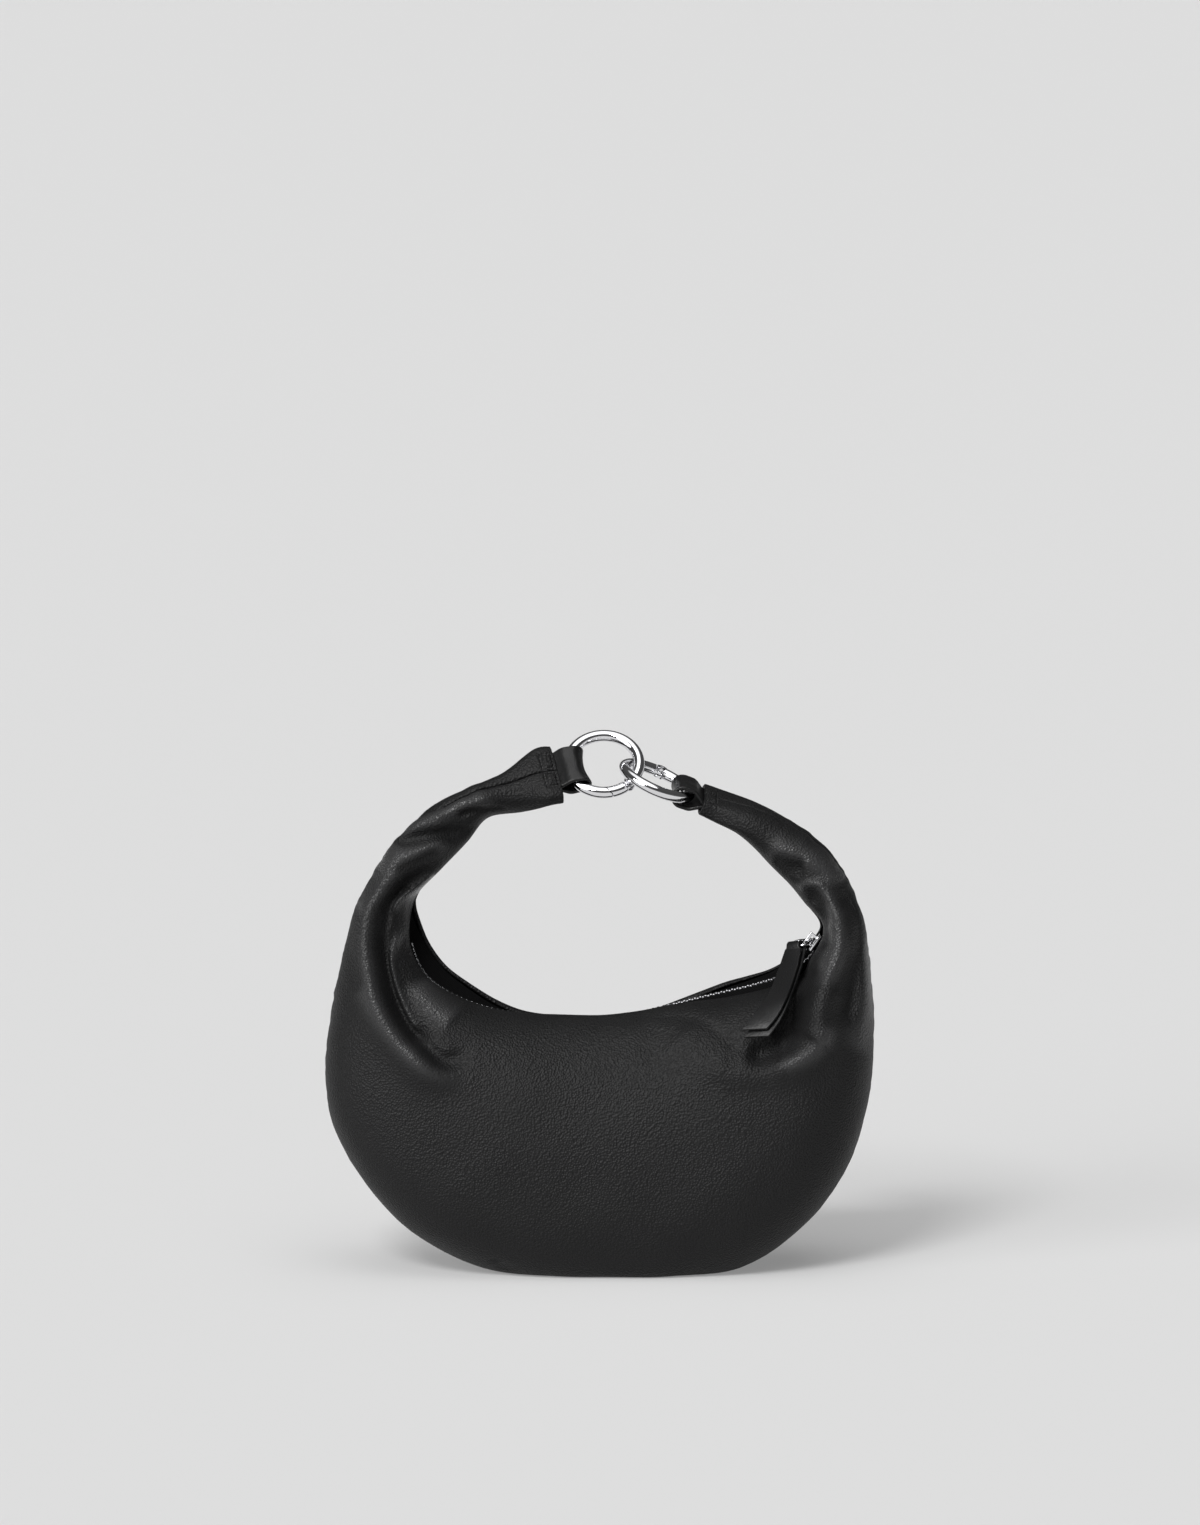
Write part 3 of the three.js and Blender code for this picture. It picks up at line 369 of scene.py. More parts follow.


# Height of the folds over the given points, and how much their narrow crests are rubbed glossy and
# painted lighter as a highlight
def fold_rise(points, fold_lines):
    seen = np.stack([points[:, 0], points[:, 2] * math.cos(view_elevation)
                     + points[:, 1] * math.sin(view_elevation)], axis=1)
    rise = np.zeros(len(points))
    polish_and_highlight = np.zeros(len(points))
    for height, width, line in fold_lines:
        step_on = np.diff(line, axis=0)
        from_start = seen[:, None, :] - line[None, :-1, :]
        share = (from_start * step_on).sum(axis=2) / (step_on ** 2).sum(axis=1)
        share = np.clip(share, 0, 1)
        away = np.linalg.norm(from_start - share[:, :, None] * step_on, axis=2)
        nearest = away.argmin(axis=1)
        along = (nearest + share[np.arange(len(seen)), nearest]) / len(step_on)
        fade = np.clip(np.minimum(along, 1 - along) / fold_fade, 0, 1)
        fade = fade * fade * (3 - 2 * fade)
        shape = fade * np.exp(-(away.min(axis=1) / width) ** 2)
        rise += height * shape
        # Narrow folds mark their crests for a lower roughness and a painted highlight
        if width < polish_highlight_width:
            polish_and_highlight += np.clip(height / polish_highlight_height, -1, 1) * shape
    return rise, polish_and_highlight


step = 1e-3


def skin_normal(place, turn):
    p = min(max(place, step), last_row - step)
    ahead = plain_skin(section_at(p + step), turn, 0) - plain_skin(section_at(p - step), turn, 0)
    row = section_at(p)
    round_it = plain_skin(row, turn + step, 0) - plain_skin(row, turn - step, 0)
    normal = np.cross(round_it, ahead)
    return normal / np.linalg.norm(normal, axis=1, keepdims=True)


# Share of the folds at each turn, all of it in front and none behind
def in_front(turn):
    return np.clip(front_fade * np.sin(turn), 0, 1)


# Points of the skin with the broad folds
def skin(place, turn, inset, relief=0):
    row = section_at(place)
    turn = np.atleast_1d(np.asarray(turn, float))
    outer = plain_skin(row, turn, 0)
    rise = fold_rise(outer, broad_lines)[0] * in_front(turn) + relief
    point = plain_skin(row, turn, inset) + skin_normal(place, turn) * rise[:, None]
    point[:, 2] = np.maximum(point[:, 2], inset)
    return point


# Turns at which a panel starts, at the outer seam, and ends, at the mouth or the inner seam
def panel_turns(place, side):
    row = section_at(place)
    shift = math.radians(row["seam"])
    pace = abs(math.sin(shift)) * row["half"] + abs(math.cos(shift)) * row["depth"] / 2
    gap = seam_gap / 2 / pace
    opening = row["mouth"] * (mouth_front if side > 0 else mouth_back)
    lip = math.atan(opening * 2 / row["depth"])
    if side > 0:
        return math.pi + shift - gap, shift + lip + gap
    return math.pi + shift + gap, 2 * math.pi + shift - lip - gap


section_steps = 200


# Turns at the given distances from the seam, the distances, and the length from seam to mouth
def turns_along(place, side, distances):
    start, end = panel_turns(place, side)
    dense = np.linspace(start, end, section_steps)
    curve = plain_skin(section_at(place), dense, 0)
    run = np.concatenate([[0], np.cumsum(np.linalg.norm(np.diff(curve, axis=0), axis=1))])
    arcs = distances(run[-1])
    return np.interp(arcs, run, dense), arcs, run[-1]


edge_steps = np.array((0, 0.15, 0.4, 0.8, 1.4, 2.2, 3.4, 5))
middle_steps = 80
edge_room = 24
lip_crowding = 1.3


# Distances from the seam to the mouth, close together at both edges and closer towards the lip
def spread(length):
    edge = edge_steps * min(1, length / edge_room)
    towards_lip = 1 - (1 - np.linspace(0, 1, middle_steps)) ** lip_crowding
    middle = (edge[-1] + towards_lip * (length - 2 * edge[-1]))[1:-1]
    return np.concatenate([edge, middle, length - edge[::-1]])


edge_radius = leather / 2
edge_steepest = 0.98
seam_dip = 0.5
seam_dip_wide = 2.2
lip_bead = 2.8
lip_groove = 0.6
lip_groove_wide = 0.6


# How far the skin sinks at a rounded cut edge
def edge_inset(distance):
    inside = np.clip(1 - distance / edge_radius, 0, edge_steepest)
    return edge_radius * (1 - np.sqrt(1 - inside ** 2))


# Places of the panels' rings: close together at the rounded end and the hem, then even
end_steps = np.concatenate([(0, 0.15, 0.4, 0.8), np.arange(1.2, 9, 0.35)]) / hem_depth
steps_per_row = 12
first_step = 15
step_places = np.arange(first_step, last_row * steps_per_row - first_step + 1) / steps_per_row
panel_places = np.concatenate([end_steps, step_places, last_row - end_steps[::-1]])

# Two small stitched boxes on each arm's end, one in each panel: depth along the arm and width
box_middle = 4.4
box_half_depth = 2.6
box_from_seam = 5.2
box_half_width = 4.2
box_groove = 0.7
box_groove_wide = 0.6
box_puff = 0.7
box_slope = 1.6
hem_reach = 12

# Puckers along the seam, in a long and a short wave of noise, and the leather's slow unevenness
pucker_high = 0.55
pucker_wide = 9
pucker_pitch = 5
pucker_lane = (3, 0.5)
short_share = 0.6
short_pitch = 2.4
short_lane = (7, 0.5)
uneven_high = 0.5
uneven_pitch = 24
facing_gain = 1.6


def hem_relief(from_end, arcs):
    off = np.maximum(abs(from_end - box_middle) - box_half_depth,
                     np.abs(arcs - box_from_seam) - box_half_width)
    groove = box_groove * np.exp(-(off / box_groove_wide) ** 2)
    puff = box_puff * np.clip(-off / box_slope, 0, 1)
    return puff - groove


def loft_faces(rings, count):
    faces = []
    for here in range(0, (rings - 1) * count, count):
        there = here + count
        for j in range(count):
            k = (j + 1) % count
            faces.append((here + j, here + k, there + k, there + j))
    return faces


# Both ends of a loft whose rings run out along one skin and back along the other
def end_faces(rings, count):
    last = (rings - 1) * count
    faces = []
    for j in range(count // 2 - 1):
        faces.append((j + 1, j, count - 1 - j, count - 2 - j))
        faces.append((last + j, last + j + 1, last + count - 2 - j, last + count - 1 - j))
    return faces


def panel(name, side, node):
    grid = []
    polish_and_highlight = []
    seam_run = 0
    before = None
    for place in panel_places:
        turn, arcs, length = turns_along(place, side, spread)
        seam_point = plain_skin(section_at(place), turn[:1], 0)[0]
        if before is not None:
            seam_run += np.linalg.norm(seam_point - before)
        before = seam_point
        from_end = min(place, last_row - place) * hem_depth
        from_lip = length - arcs
        from_edge = np.minimum(arcs, from_lip)
        edge = np.maximum(edge_inset(from_edge), edge_inset(np.full_like(arcs, from_end)))
        pucker = noise.noise(Vector((seam_run / pucker_pitch, *pucker_lane)))
        pucker += short_share * noise.noise(Vector((seam_run / short_pitch, *short_lane)))
        lift = pucker_high * pucker * np.exp(-(arcs / pucker_wide) ** 2)
        lift = lift - seam_dip * np.exp(-(arcs / seam_dip_wide) ** 2)
        lift = lift - lip_groove * np.exp(-((from_lip - lip_bead) / lip_groove_wide) ** 2)
        if from_end < hem_reach:
            lift = lift + hem_relief(from_end, arcs)
        row = section_at(place)
        plain = plain_skin(row, turn, 0)
        crest = 0 * arcs
        if side > 0:
            rise, _ = fold_rise(plain, broad_lines)
            fine_rise, crest = fold_rise(plain, fine_lines)
            lift = lift + rise * in_front(turn)
        lift = lift + uneven_high * np.array([noise.noise(Vector(p / uneven_pitch)) for p in plain])
        normal = skin_normal(place, turn)
        moved = normal * lift[:, None]
        if side > 0:
            facing = np.clip(facing_gain * normal @ towards_eye, 0, 1)
            moved = moved + towards_eye * (fine_rise * facing)[:, None]
        outer = plain_skin(row, turn, edge) + moved
        inner = plain_skin(row, turn, leather - edge) + moved
        outer[:, 2] = np.maximum(outer[:, 2], 0)
        inner[:, 2] = np.maximum(inner[:, 2], leather / 2)
        grid.append(np.vstack([outer, inner[::-1]]))
        polish_and_highlight.append(np.concatenate([crest, 0 * crest]))
    faces = loft_faces(len(grid), len(grid[0])) + end_faces(len(grid), len(grid[0]))
    piece = make_piece(name, np.vstack(grid), faces, "bag", "leather", node)
    # The crests' mask, which drives their gloss and their painted highlight
    rubbed_and_highlit = piece.data.attributes.new("polish_and_highlight", "FLOAT", "POINT")
    rubbed_and_highlit.data.foreach_set("value", np.clip(np.concatenate(polish_and_highlight), 0, 1).tolist())
    return piece


def make_piece(name, points, faces, body, slot, *stands_for):
    mesh = bpy.data.meshes.new(name)
    mesh.from_pydata((np.asarray(points) * MM).tolist(), [], faces)
    piece = bpy.data.objects.new(name, mesh)
    bpy.context.scene.collection.objects.link(piece)
    select_only(piece)
    bpy.ops.object.mode_set(mode="EDIT")
    bpy.ops.mesh.select_all(action="SELECT")
    bpy.ops.mesh.normals_make_consistent(inside=False)
    bpy.ops.object.mode_set(mode="OBJECT")
    bpy.ops.object.shade_smooth()
    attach(piece, body)
    if stands_for:
        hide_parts(*stands_for)
    return piece


leather_black = (0.005, 0.005, 0.0051, 1)
leather_grey = (0.008, 0.008, 0.0082, 1)
# On fold crests the roughness drops, the grain flattens and the colour turns a lighter grey, which is
# a painted highlight
rubbed_rough = 0.2
crest_highlight_grey = (0.03, 0.03, 0.0305, 1)
rubbed_bump = 0.8
pore_fineness = 2.2
pore_share = 0.25
wear_scale = 42


# Grain as cells per metre, its depth in metres, roughness from low to high, and the sheen
def leather_finish(name, grain, deep, rough_low, rough_high, shine, rubbed_and_highlit=False):
    material, tree, shader = empty_material(name)
    place = tree.nodes.new("ShaderNodeTexCoord")
    pebbles = tree.nodes.new("ShaderNodeTexVoronoi")
    pebbles.inputs["Scale"].default_value = grain
    pores = tree.nodes.new("ShaderNodeTexNoise")
    pores.inputs["Scale"].default_value = grain * pore_fineness
    pores.inputs["Detail"].default_value = 3
    wear = tree.nodes.new("ShaderNodeTexNoise")
    wear.inputs["Scale"].default_value = wear_scale
    wear.inputs["Detail"].default_value = 4
    for texture in (pebbles, pores, wear):
        tree.links.new(place.outputs["Object"], texture.inputs["Vector"])
    height = tree.nodes.new("ShaderNodeMath")
    height.operation = "MULTIPLY_ADD"
    tree.links.new(pores.outputs["Fac"], height.inputs[0])
    height.inputs[1].default_value = pore_share
    tree.links.new(pebbles.outputs["Distance"], height.inputs[2])
    bump = add_bump(tree, shader, height.outputs[0], strength=1, distance=deep)
    gloss = tree.nodes.new("ShaderNodeMapRange")
    gloss.inputs["From Min"].default_value = 0.3
    gloss.inputs["From Max"].default_value = 0.7
    gloss.inputs["To Min"].default_value = rough_low
    gloss.inputs["To Max"].default_value = rough_high
    tree.links.new(wear.outputs["Fac"], gloss.inputs["Value"])
    roughness = gloss.outputs[0]
    if rubbed_and_highlit:
        crest = tree.nodes.new("ShaderNodeAttribute")
        crest.attribute_name = "polish_and_highlight"
        rubbed = tree.nodes.new("ShaderNodeMapRange")
        rubbed.inputs["To Max"].default_value = rubbed_rough
        tree.links.new(crest.outputs["Fac"], rubbed.inputs["Value"])
        tree.links.new(roughness, rubbed.inputs["To Min"])
        roughness = rubbed.outputs[0]
        flattened = tree.nodes.new("ShaderNodeMapRange")
        flattened.inputs["To Min"].default_value = 1
        flattened.inputs["To Max"].default_value = rubbed_bump
        tree.links.new(crest.outputs["Fac"], flattened.inputs["Value"])
        tree.links.new(flattened.outputs[0], bump.inputs["Strength"])
    tree.links.new(roughness, shader.inputs["Roughness"])
    tone = tree.nodes.new("ShaderNodeValToRGB")
    colour = tone.outputs[0]
    tone.color_ramp.elements[0].color = leather_black
    tone.color_ramp.elements[1].color = leather_grey
    tree.links.new(wear.outputs["Fac"], tone.inputs[0])
    if rubbed_and_highlit:
        # The crests' colour is mixed towards a lighter grey: a painted highlight
        # Inputs 6 and 7 and output 2 are the colours of the Mix node
        crest_highlight_mix = tree.nodes.new("ShaderNodeMix")
        crest_highlight_mix.data_type = "RGBA"
        tree.links.new(crest.outputs["Fac"], crest_highlight_mix.inputs["Factor"])
        tree.links.new(colour, crest_highlight_mix.inputs[6])
        crest_highlight_mix.inputs[7].default_value = crest_highlight_grey
        colour = crest_highlight_mix.outputs[2]
    tree.links.new(colour, shader.inputs["Base Color"])
    shader.inputs["Specular IOR Level"].default_value = shine
    return material


panel_leather = leather_finish("panel_leather", grain=950, deep=0.00045, rough_low=0.48,
                               rough_high=0.56, shine=0.2, rubbed_and_highlit=True)
front = panel("leather_front", 1, "front_panel")
back = panel("leather_back", -1, "back_panel")
for piece in (front, back):
    piece.data.materials.append(panel_leather)

# Stitches
# Thick black thread sews each loop's tails into the arms' ends, round the two small boxes beside
# the seam. Each stitch sinks into the leather a little.
stitch_long = 1.25
stitch_thick = 0.5
stitch_pitch = 1.75
stitch_round = 0.18
first_in_row = 0.6
first_in_column = 0.7
above_leather = 3


# Points and faces of one small shape repeated in many places
def copies_of(base, matrices):
    corners = np.array([tuple(v.co) + (1,) for v in base.data.vertices])
    shapes = [tuple(f.vertices) for f in base.data.polygons]
    points = []
    faces = []
    for number, matrix in enumerate(matrices):
        points.append((corners @ np.array(matrix).T)[:, :3])
        faces += [tuple(i + number * len(corners) for i in shape) for shape in shapes]
    bpy.data.objects.remove(base, do_unlink=True)
    return np.vstack(points), faces


def cut_corners(piece, width, segments, angle=30):
    select_only(piece)
    bevel = piece.modifiers.new("corners", "BEVEL")
    bevel.width = width
    bevel.segments = segments
    bevel.limit_method = "ANGLE"
    bevel.angle_limit = math.radians(angle)
    bpy.ops.object.modifier_apply(modifier=bevel.name)


# Point and normal on a finished panel, at a distance from the seam
def on_leather(panel_piece, side, place, arc):
    turn, _, _ = turns_along(place, side, lambda total: np.array([arc]))
    above = Vector((skin(place, turn, 0, above_leather)[0] * MM).tolist())
    normal = Vector(skin_normal(place, turn)[0].tolist())
    _, point, _, _ = panel_piece.ray_cast(above, -normal)
    return np.array(point) / MM, np.array(normal)


# Lays one stitch between two points, each given from the arm's end and from the seam
def stitch_matrix(panel_piece, side, from_end, arc, other_end, other_arc, at_end):
    places = [last_row - d / hem_depth if at_end else d / hem_depth for d in (from_end, other_end)]
    start, normal = on_leather(panel_piece, side, places[0], arc)
    finish, _ = on_leather(panel_piece, side, places[1], other_arc)
    ahead = (finish - start) / np.linalg.norm(finish - start)
    sideways = np.cross(normal, ahead)
    sideways /= np.linalg.norm(sideways)
    matrix = np.eye(4)
    matrix[:3, 0], matrix[:3, 1] = ahead, sideways
    matrix[:3, 2], matrix[:3, 3] = np.cross(ahead, sideways), (start + finish) / 2
    return matrix


bpy.ops.object.select_all(action="DESELECT")
bpy.ops.mesh.primitive_cylinder_add(vertices=10, radius=stitch_thick / 2, depth=stitch_long,
                                    rotation=(0, math.pi / 2, 0))
stitch = bpy.context.active_object
bpy.ops.object.transform_apply(rotation=True)
cut_corners(stitch, stitch_round, segments=2, angle=50)
bpy.context.view_layer.update()
low, high = box_from_seam - box_half_width, box_from_seam + box_half_width
near, far = box_middle - box_half_depth, box_middle + box_half_depth
stitch_places = []
for panel_piece, side in ((front, 1), (back, -1)):
    for at_end in (False, True):
        for number in range(int((high - low) / stitch_pitch)):
            arc = low + (number + first_in_row) * stitch_pitch
            for depth in (near, far):
                stitch_places.append(stitch_matrix(panel_piece, side, depth, arc - stitch_long / 2,
                                                   depth, arc + stitch_long / 2, at_end))
        for number in range(int((far - near) / stitch_pitch)):
            depth = near + (number + first_in_column) * stitch_pitch
            for arc in (low, high):
                stitch_places.append(stitch_matrix(panel_piece, side, depth - stitch_long / 2, arc,
                                                   depth + stitch_long / 2, arc, at_end))
points, faces = copies_of(stitch, stitch_places)
stitches = make_piece("stitches", points, faces, "bag", "leather")
thread_material, thread_tree, thread_shader = empty_material("waxed_thread")
thread_place = thread_tree.nodes.new("ShaderNodeTexCoord")
thread_twist = thread_tree.nodes.new("ShaderNodeTexWave")
thread_twist.bands_direction = "DIAGONAL"
thread_twist.inputs["Scale"].default_value = 900
thread_tree.links.new(thread_place.outputs["Object"], thread_twist.inputs["Vector"])
add_bump(thread_tree, thread_shader, thread_twist.outputs["Fac"], strength=0.6, distance=0.0001)
thread_shader.inputs["Base Color"].default_value = (0.02, 0.02, 0.02, 1)
thread_shader.inputs["Roughness"].default_value = 0.42
stitches.data.materials.append(thread_material)

# Zip tape
# Woven black tape in two halves. Each runs flat from the teeth and is sewn under a lip of the
# mouth.
mouth_start = 8
tape_start = 7.0
tape_end = 22.4
tape_steps = 150
zip_end = 22.45
zip_drop = 0.6
zip_raise = 1.5
raise_from = 15
raise_until = 21.2
tooth_rise = 2.2
chain_width = 4.8
slider_wide = 6.6
fit_gap = 0.35
tape_thick = 0.9
tape_under = 3.5
tape_overlap = 0.5
tape_spare = 0.3


# Middle line of the zip, the given distance down into the bag
def mouth_point(place, down):
    row = section_at(place)
    raised = zip_raise * min(1, max(0, place - raise_from)) * min(1, max(0, raise_until - place))
    return row["middle"] + row["along"] * (down + zip_drop - raised - row["half"])


def zip_tape(name, side, node):
    rings = []
    for place in np.linspace(tape_start, tape_end, tape_steps):
        row = section_at(place)
        open_share = min(1, row["mouth"])
        lip = panel_turns(place, side)[1]
        middle = mouth_point(place, (tooth_rise - tape_thick) / 2)
        held = middle - row["across"] * side * (chain_width / 2 - tape_overlap) * open_share
        flat = middle - row["across"] * side * (slider_wide / 2 + fit_gap) * open_share
        deep = leather + fit_gap + tape_spare
        under = skin(place, lip, deep)[0]
        further = skin(place, lip + side * tape_under * 2 / row["depth"], deep)[0]
        top = [held, flat, under, further]
        rings.append(top + [p + row["along"] * tape_thick for p in reversed(top)])
    count = len(rings[0])
    last = (len(rings) - 1) * count
    faces = loft_faces(len(rings), count)
    faces.append(tuple(range(count)))
    faces.append(tuple(range(last + count - 1, last - 1, -1)))
    points = [p for ring in rings for p in ring]
    piece = make_piece(name, points, faces, "bag", "tape", node)
    select_only(piece)
    bpy.ops.object.shade_smooth_by_angle(angle=math.radians(40))
    return piece


tape_material, tape_tree, tape_shader = empty_material("woven_tape")
tape_place = tape_tree.nodes.new("ShaderNodeTexCoord")
tape_weave = tape_tree.nodes.new("ShaderNodeTexWave")
tape_weave.wave_type = "BANDS"
tape_weave.bands_direction = "DIAGONAL"
tape_weave.inputs["Scale"].default_value = 420
tape_weave.inputs["Distortion"].default_value = 1.5
tape_tree.links.new(tape_place.outputs["Object"], tape_weave.inputs["Vector"])
add_bump(tape_tree, tape_shader, tape_weave.outputs["Fac"], strength=0.5, distance=0.0002)
# Black weave, darkened further as painted shade of the deep mouth
tape_tone_and_shade = tape_tree.nodes.new("ShaderNodeValToRGB")
tape_tone_and_shade.color_ramp.elements[0].color = (0.002, 0.002, 0.002, 1)
tape_tone_and_shade.color_ramp.elements[1].color = (0.004, 0.004, 0.0042, 1)
tape_tree.links.new(tape_weave.outputs["Fac"], tape_tone_and_shade.inputs[0])
tape_tree.links.new(tape_tone_and_shade.outputs[0], tape_shader.inputs["Base Color"])
tape_shader.inputs["Roughness"].default_value = 0.85
tape_shader.inputs["Specular IOR Level"].default_value = 0.05
for tape in (zip_tape("tape_front", 1, "zip_tape_front"), zip_tape("tape_back", -1, "zip_tape_back")):
    tape.data.materials.append(tape_material)

# Zip teeth
# Cast metal teeth clamped to the tapes' edges. Those of the front tape sit half a pitch from those
# of the back tape, so that they lock.
tooth_pitch = 2.6
tooth_size = (1.25, 3.3, 2)
tooth_round = 0.28
tooth_aside = 0.95
zip_steps = 700
end_spare = 0.25
nudge = 0.02


def metal_finish(name, tone, rough_low, rough_high):
    material, tree, shader = empty_material(name)
    place = tree.nodes.new("ShaderNodeTexCoord")
    haze = tree.nodes.new("ShaderNodeTexNoise")
    haze.inputs["Scale"].default_value = 260
    haze.inputs["Detail"].default_value = 5
    tree.links.new(place.outputs["Object"], haze.inputs["Vector"])
    gloss = tree.nodes.new("ShaderNodeMapRange")
    gloss.inputs["To Min"].default_value = rough_low
    gloss.inputs["To Max"].default_value = rough_high
    tree.links.new(haze.outputs["Fac"], gloss.inputs["Value"])
    tree.links.new(gloss.outputs[0], shader.inputs["Roughness"])
    add_bump(tree, shader, haze.outputs["Fac"], strength=0.05, distance=0.00005)
    shader.inputs["Base Color"].default_value = tone
    shader.inputs["Metallic"].default_value = 1
    return material


bpy.ops.object.select_all(action="DESELECT")
bpy.ops.mesh.primitive_cube_add(size=1)
tooth = bpy.context.active_object
tooth.scale = tooth_size
bpy.ops.object.transform_apply(scale=True)
cut_corners(tooth, tooth_round, segments=1)

zip_places = np.linspace(mouth_start, zip_end - end_spare, zip_steps)
zip_line = np.array([mouth_point(place, tooth_rise / 2) for place in zip_places])
zip_run = np.concatenate([[0], np.cumsum(np.linalg.norm(np.diff(zip_line, axis=0), axis=1))])
tooth_places = []
for side in (1, -1):
    for number in range(int(zip_run[-1] / tooth_pitch)):
        at = (number + (0 if side > 0 else 0.5)) * tooth_pitch
        if at > zip_run[-1]:
            break
        place = float(np.interp(at, zip_run, zip_places))
        row = section_at(place)
        ahead = mouth_point(place + nudge, 0) - mouth_point(place - nudge, 0)
        ahead /= np.linalg.norm(ahead)
        across = row["across"] * -side
        up = np.cross(ahead, across)
        up /= np.linalg.norm(up)
        middle = mouth_point(place, tooth_rise / 2) + across * tooth_aside
        matrix = np.eye(4)
        matrix[:3, 0], matrix[:3, 1], matrix[:3, 2], matrix[:3, 3] = ahead, across, up, middle
        tooth_places.append(matrix)
teeth_metal = metal_finish("teeth_metal", tone=(0.62, 0.62, 0.64, 1), rough_low=0.16, rough_high=0.3)
points, faces = copies_of(tooth, tooth_places)
teeth = make_piece("zip_teeth", points, faces, "bag", "metal", "zip_chain")
bpy.ops.object.shade_flat()
teeth.data.materials.append(teeth_metal)

# Zip slider and link
# A plated cast slider at the right end of the mouth, with the wire link that carries the pull.


# A CAD node's mesh with its corners rounded by the given width
def smoothed_copy(node, name, body, width, segments, angle=30):
    mesh = cad_nodes[node].data.copy()
    mesh.materials.clear()
    piece = bpy.data.objects.new(name, mesh)
    bpy.context.scene.collection.objects.link(piece)
    select_only(piece)
    bpy.ops.mesh.customdata_custom_splitnormals_clear()
    bpy.ops.object.mode_set(mode="EDIT")
    bpy.ops.mesh.select_all(action="SELECT")
    bpy.ops.mesh.remove_doubles(threshold=1e-6)
    bpy.ops.mesh.tris_convert_to_quads(face_threshold=math.radians(20),
                                       shape_threshold=math.radians(70))
    bpy.ops.object.mode_set(mode="OBJECT")
    if width:
        cut_corners(piece, width, segments, angle)
    select_only(piece)
    bpy.ops.object.shade_smooth_by_angle(angle=math.radians(angle))
    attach(piece, body)
    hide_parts(node)
    return piece


bright_metal = metal_finish("bright_metal", tone=(0.8, 0.8, 0.82, 1), rough_low=0.05, rough_high=0.1)
slider_round = 0.0003
slider = smoothed_copy("zip_slider", "slider", "bag", slider_round, segments=3)
slider.data.materials.append(bright_metal)
link = smoothed_copy("zip_link", "pull_link", "bag", width=0, segments=0, angle=60)
link.data.materials.append(bright_metal)

# Pull tab
# One strip of the same leather folded over the link, its tails hanging free, with rounded edges.
tab_round = 0.00035
tab_leather = leather_finish("tab_leather", grain=1000, deep=0.0001, rough_low=0.42,
                             rough_high=0.5, shine=0.35)
tab = smoothed_copy("pull_tab", "tab", "bag", tab_round, segments=3, angle=50)
tab.data.materials.append(tab_leather)

# Spring rings
# Two plated steel rings of round wire, one hanging in the other. A short gate turns inwards on a
# pin in the ring's fork.
wire_circle = 16.75
ring_wire = 5.5
gate_length = 11.4
# The lengths below are in metres, because Blender's own shapes are made from them
ring_radius = wire_circle * MM
wire = ring_wire / 2 * MM
gate_sweep = math.degrees(gate_length / wire_circle)
nose_lean = 18
nose_gap = 0.0004
nose_spare = 14
fork_radius = 0.0025
fork_high = 0.0053
fork_slot = (0.011, 0.0062, 0.0024)
fork_round = 0.00018
hole_radius = 0.00097
hole_deep = 0.011
gate_start = 9.8
gate_round = 0.00015
spring_share = 0.6
spring_slot = (0.002, 0.005, 0.0016)
tongue_radius = 0.002
tongue_thick = 0.0018
tongue_arm = (0.0034, 0.0042, tongue_thick)
tongue_arm_at = (ring_radius, -0.0021, 0)
pin_radius = 0.0007
pin_round = 0.0002
# Places of the rings: direction across the loop, middle in mm, and the turn to the pin in degrees
left_side = (-0.2181, 0.6779, 0.7020)
right_side = (0, 0.9882, 0.1530)
left_ring_at = (1.797, 3.493, 242.367)
right_ring_at = (27.096, 0.662, 234.726)
left_hinge = -55.5
right_hinge = 96


def flat_point(radius, degrees):
    return radius * math.cos(math.radians(degrees)), radius * math.sin(math.radians(degrees))


def ring_matrix(at, out, side, hinge):
    out, side = Vector(out).normalized(), Vector(side).normalized()
    face = out.cross(side).normalized()
    basis = Matrix((out, face.cross(out), face)).transposed().to_4x4()
    return Matrix.Translation(Vector(at) * MM) @ basis @ Matrix.Rotation(math.radians(hinge), 4, "Z")


def arc_of_ring(name, first, last):
    bpy.ops.object.select_all(action="DESELECT")
    bpy.ops.mesh.primitive_torus_add(major_radius=ring_radius, minor_radius=wire,
                                     major_segments=180, minor_segments=32)
    piece = bpy.context.active_object
    piece.name = name
    bpy.ops.object.mode_set(mode="EDIT")
    bpy.ops.mesh.select_all(action="DESELECT")
    bpy.ops.object.mode_set(mode="OBJECT")
    for face in piece.data.polygons:
        angle = math.degrees(math.atan2(face.center.y, face.center.x)) % 360
        inside = (angle - first) % 360 <= (last - first) % 360
        face.select = not inside
    bpy.ops.object.mode_set(mode="EDIT")
    bpy.ops.mesh.select_mode(type="FACE")
    bpy.ops.mesh.delete(type="FACE")
    bpy.ops.mesh.select_mode(type="EDGE")
    bpy.ops.mesh.select_all(action="SELECT")
    bpy.ops.mesh.fill_holes(sides=0)
    bpy.ops.mesh.select_all(action="SELECT")
    bpy.ops.mesh.normals_make_consistent(inside=False)
    bpy.ops.object.mode_set(mode="OBJECT")
    return piece


def combine(piece, other, how):
    select_only(piece)
    boolean = piece.modifiers.new(how.lower(), "BOOLEAN")
    boolean.operation = how
    boolean.solver = "EXACT"
    boolean.object = other
    bpy.ops.object.modifier_apply(modifier=boolean.name)
    bpy.data.objects.remove(other, do_unlink=True)


def rod(radius, length, at):
    bpy.ops.object.select_all(action="DESELECT")
    bpy.ops.mesh.primitive_cylinder_add(vertices=40, radius=radius, depth=length, location=at)
    return bpy.context.active_object


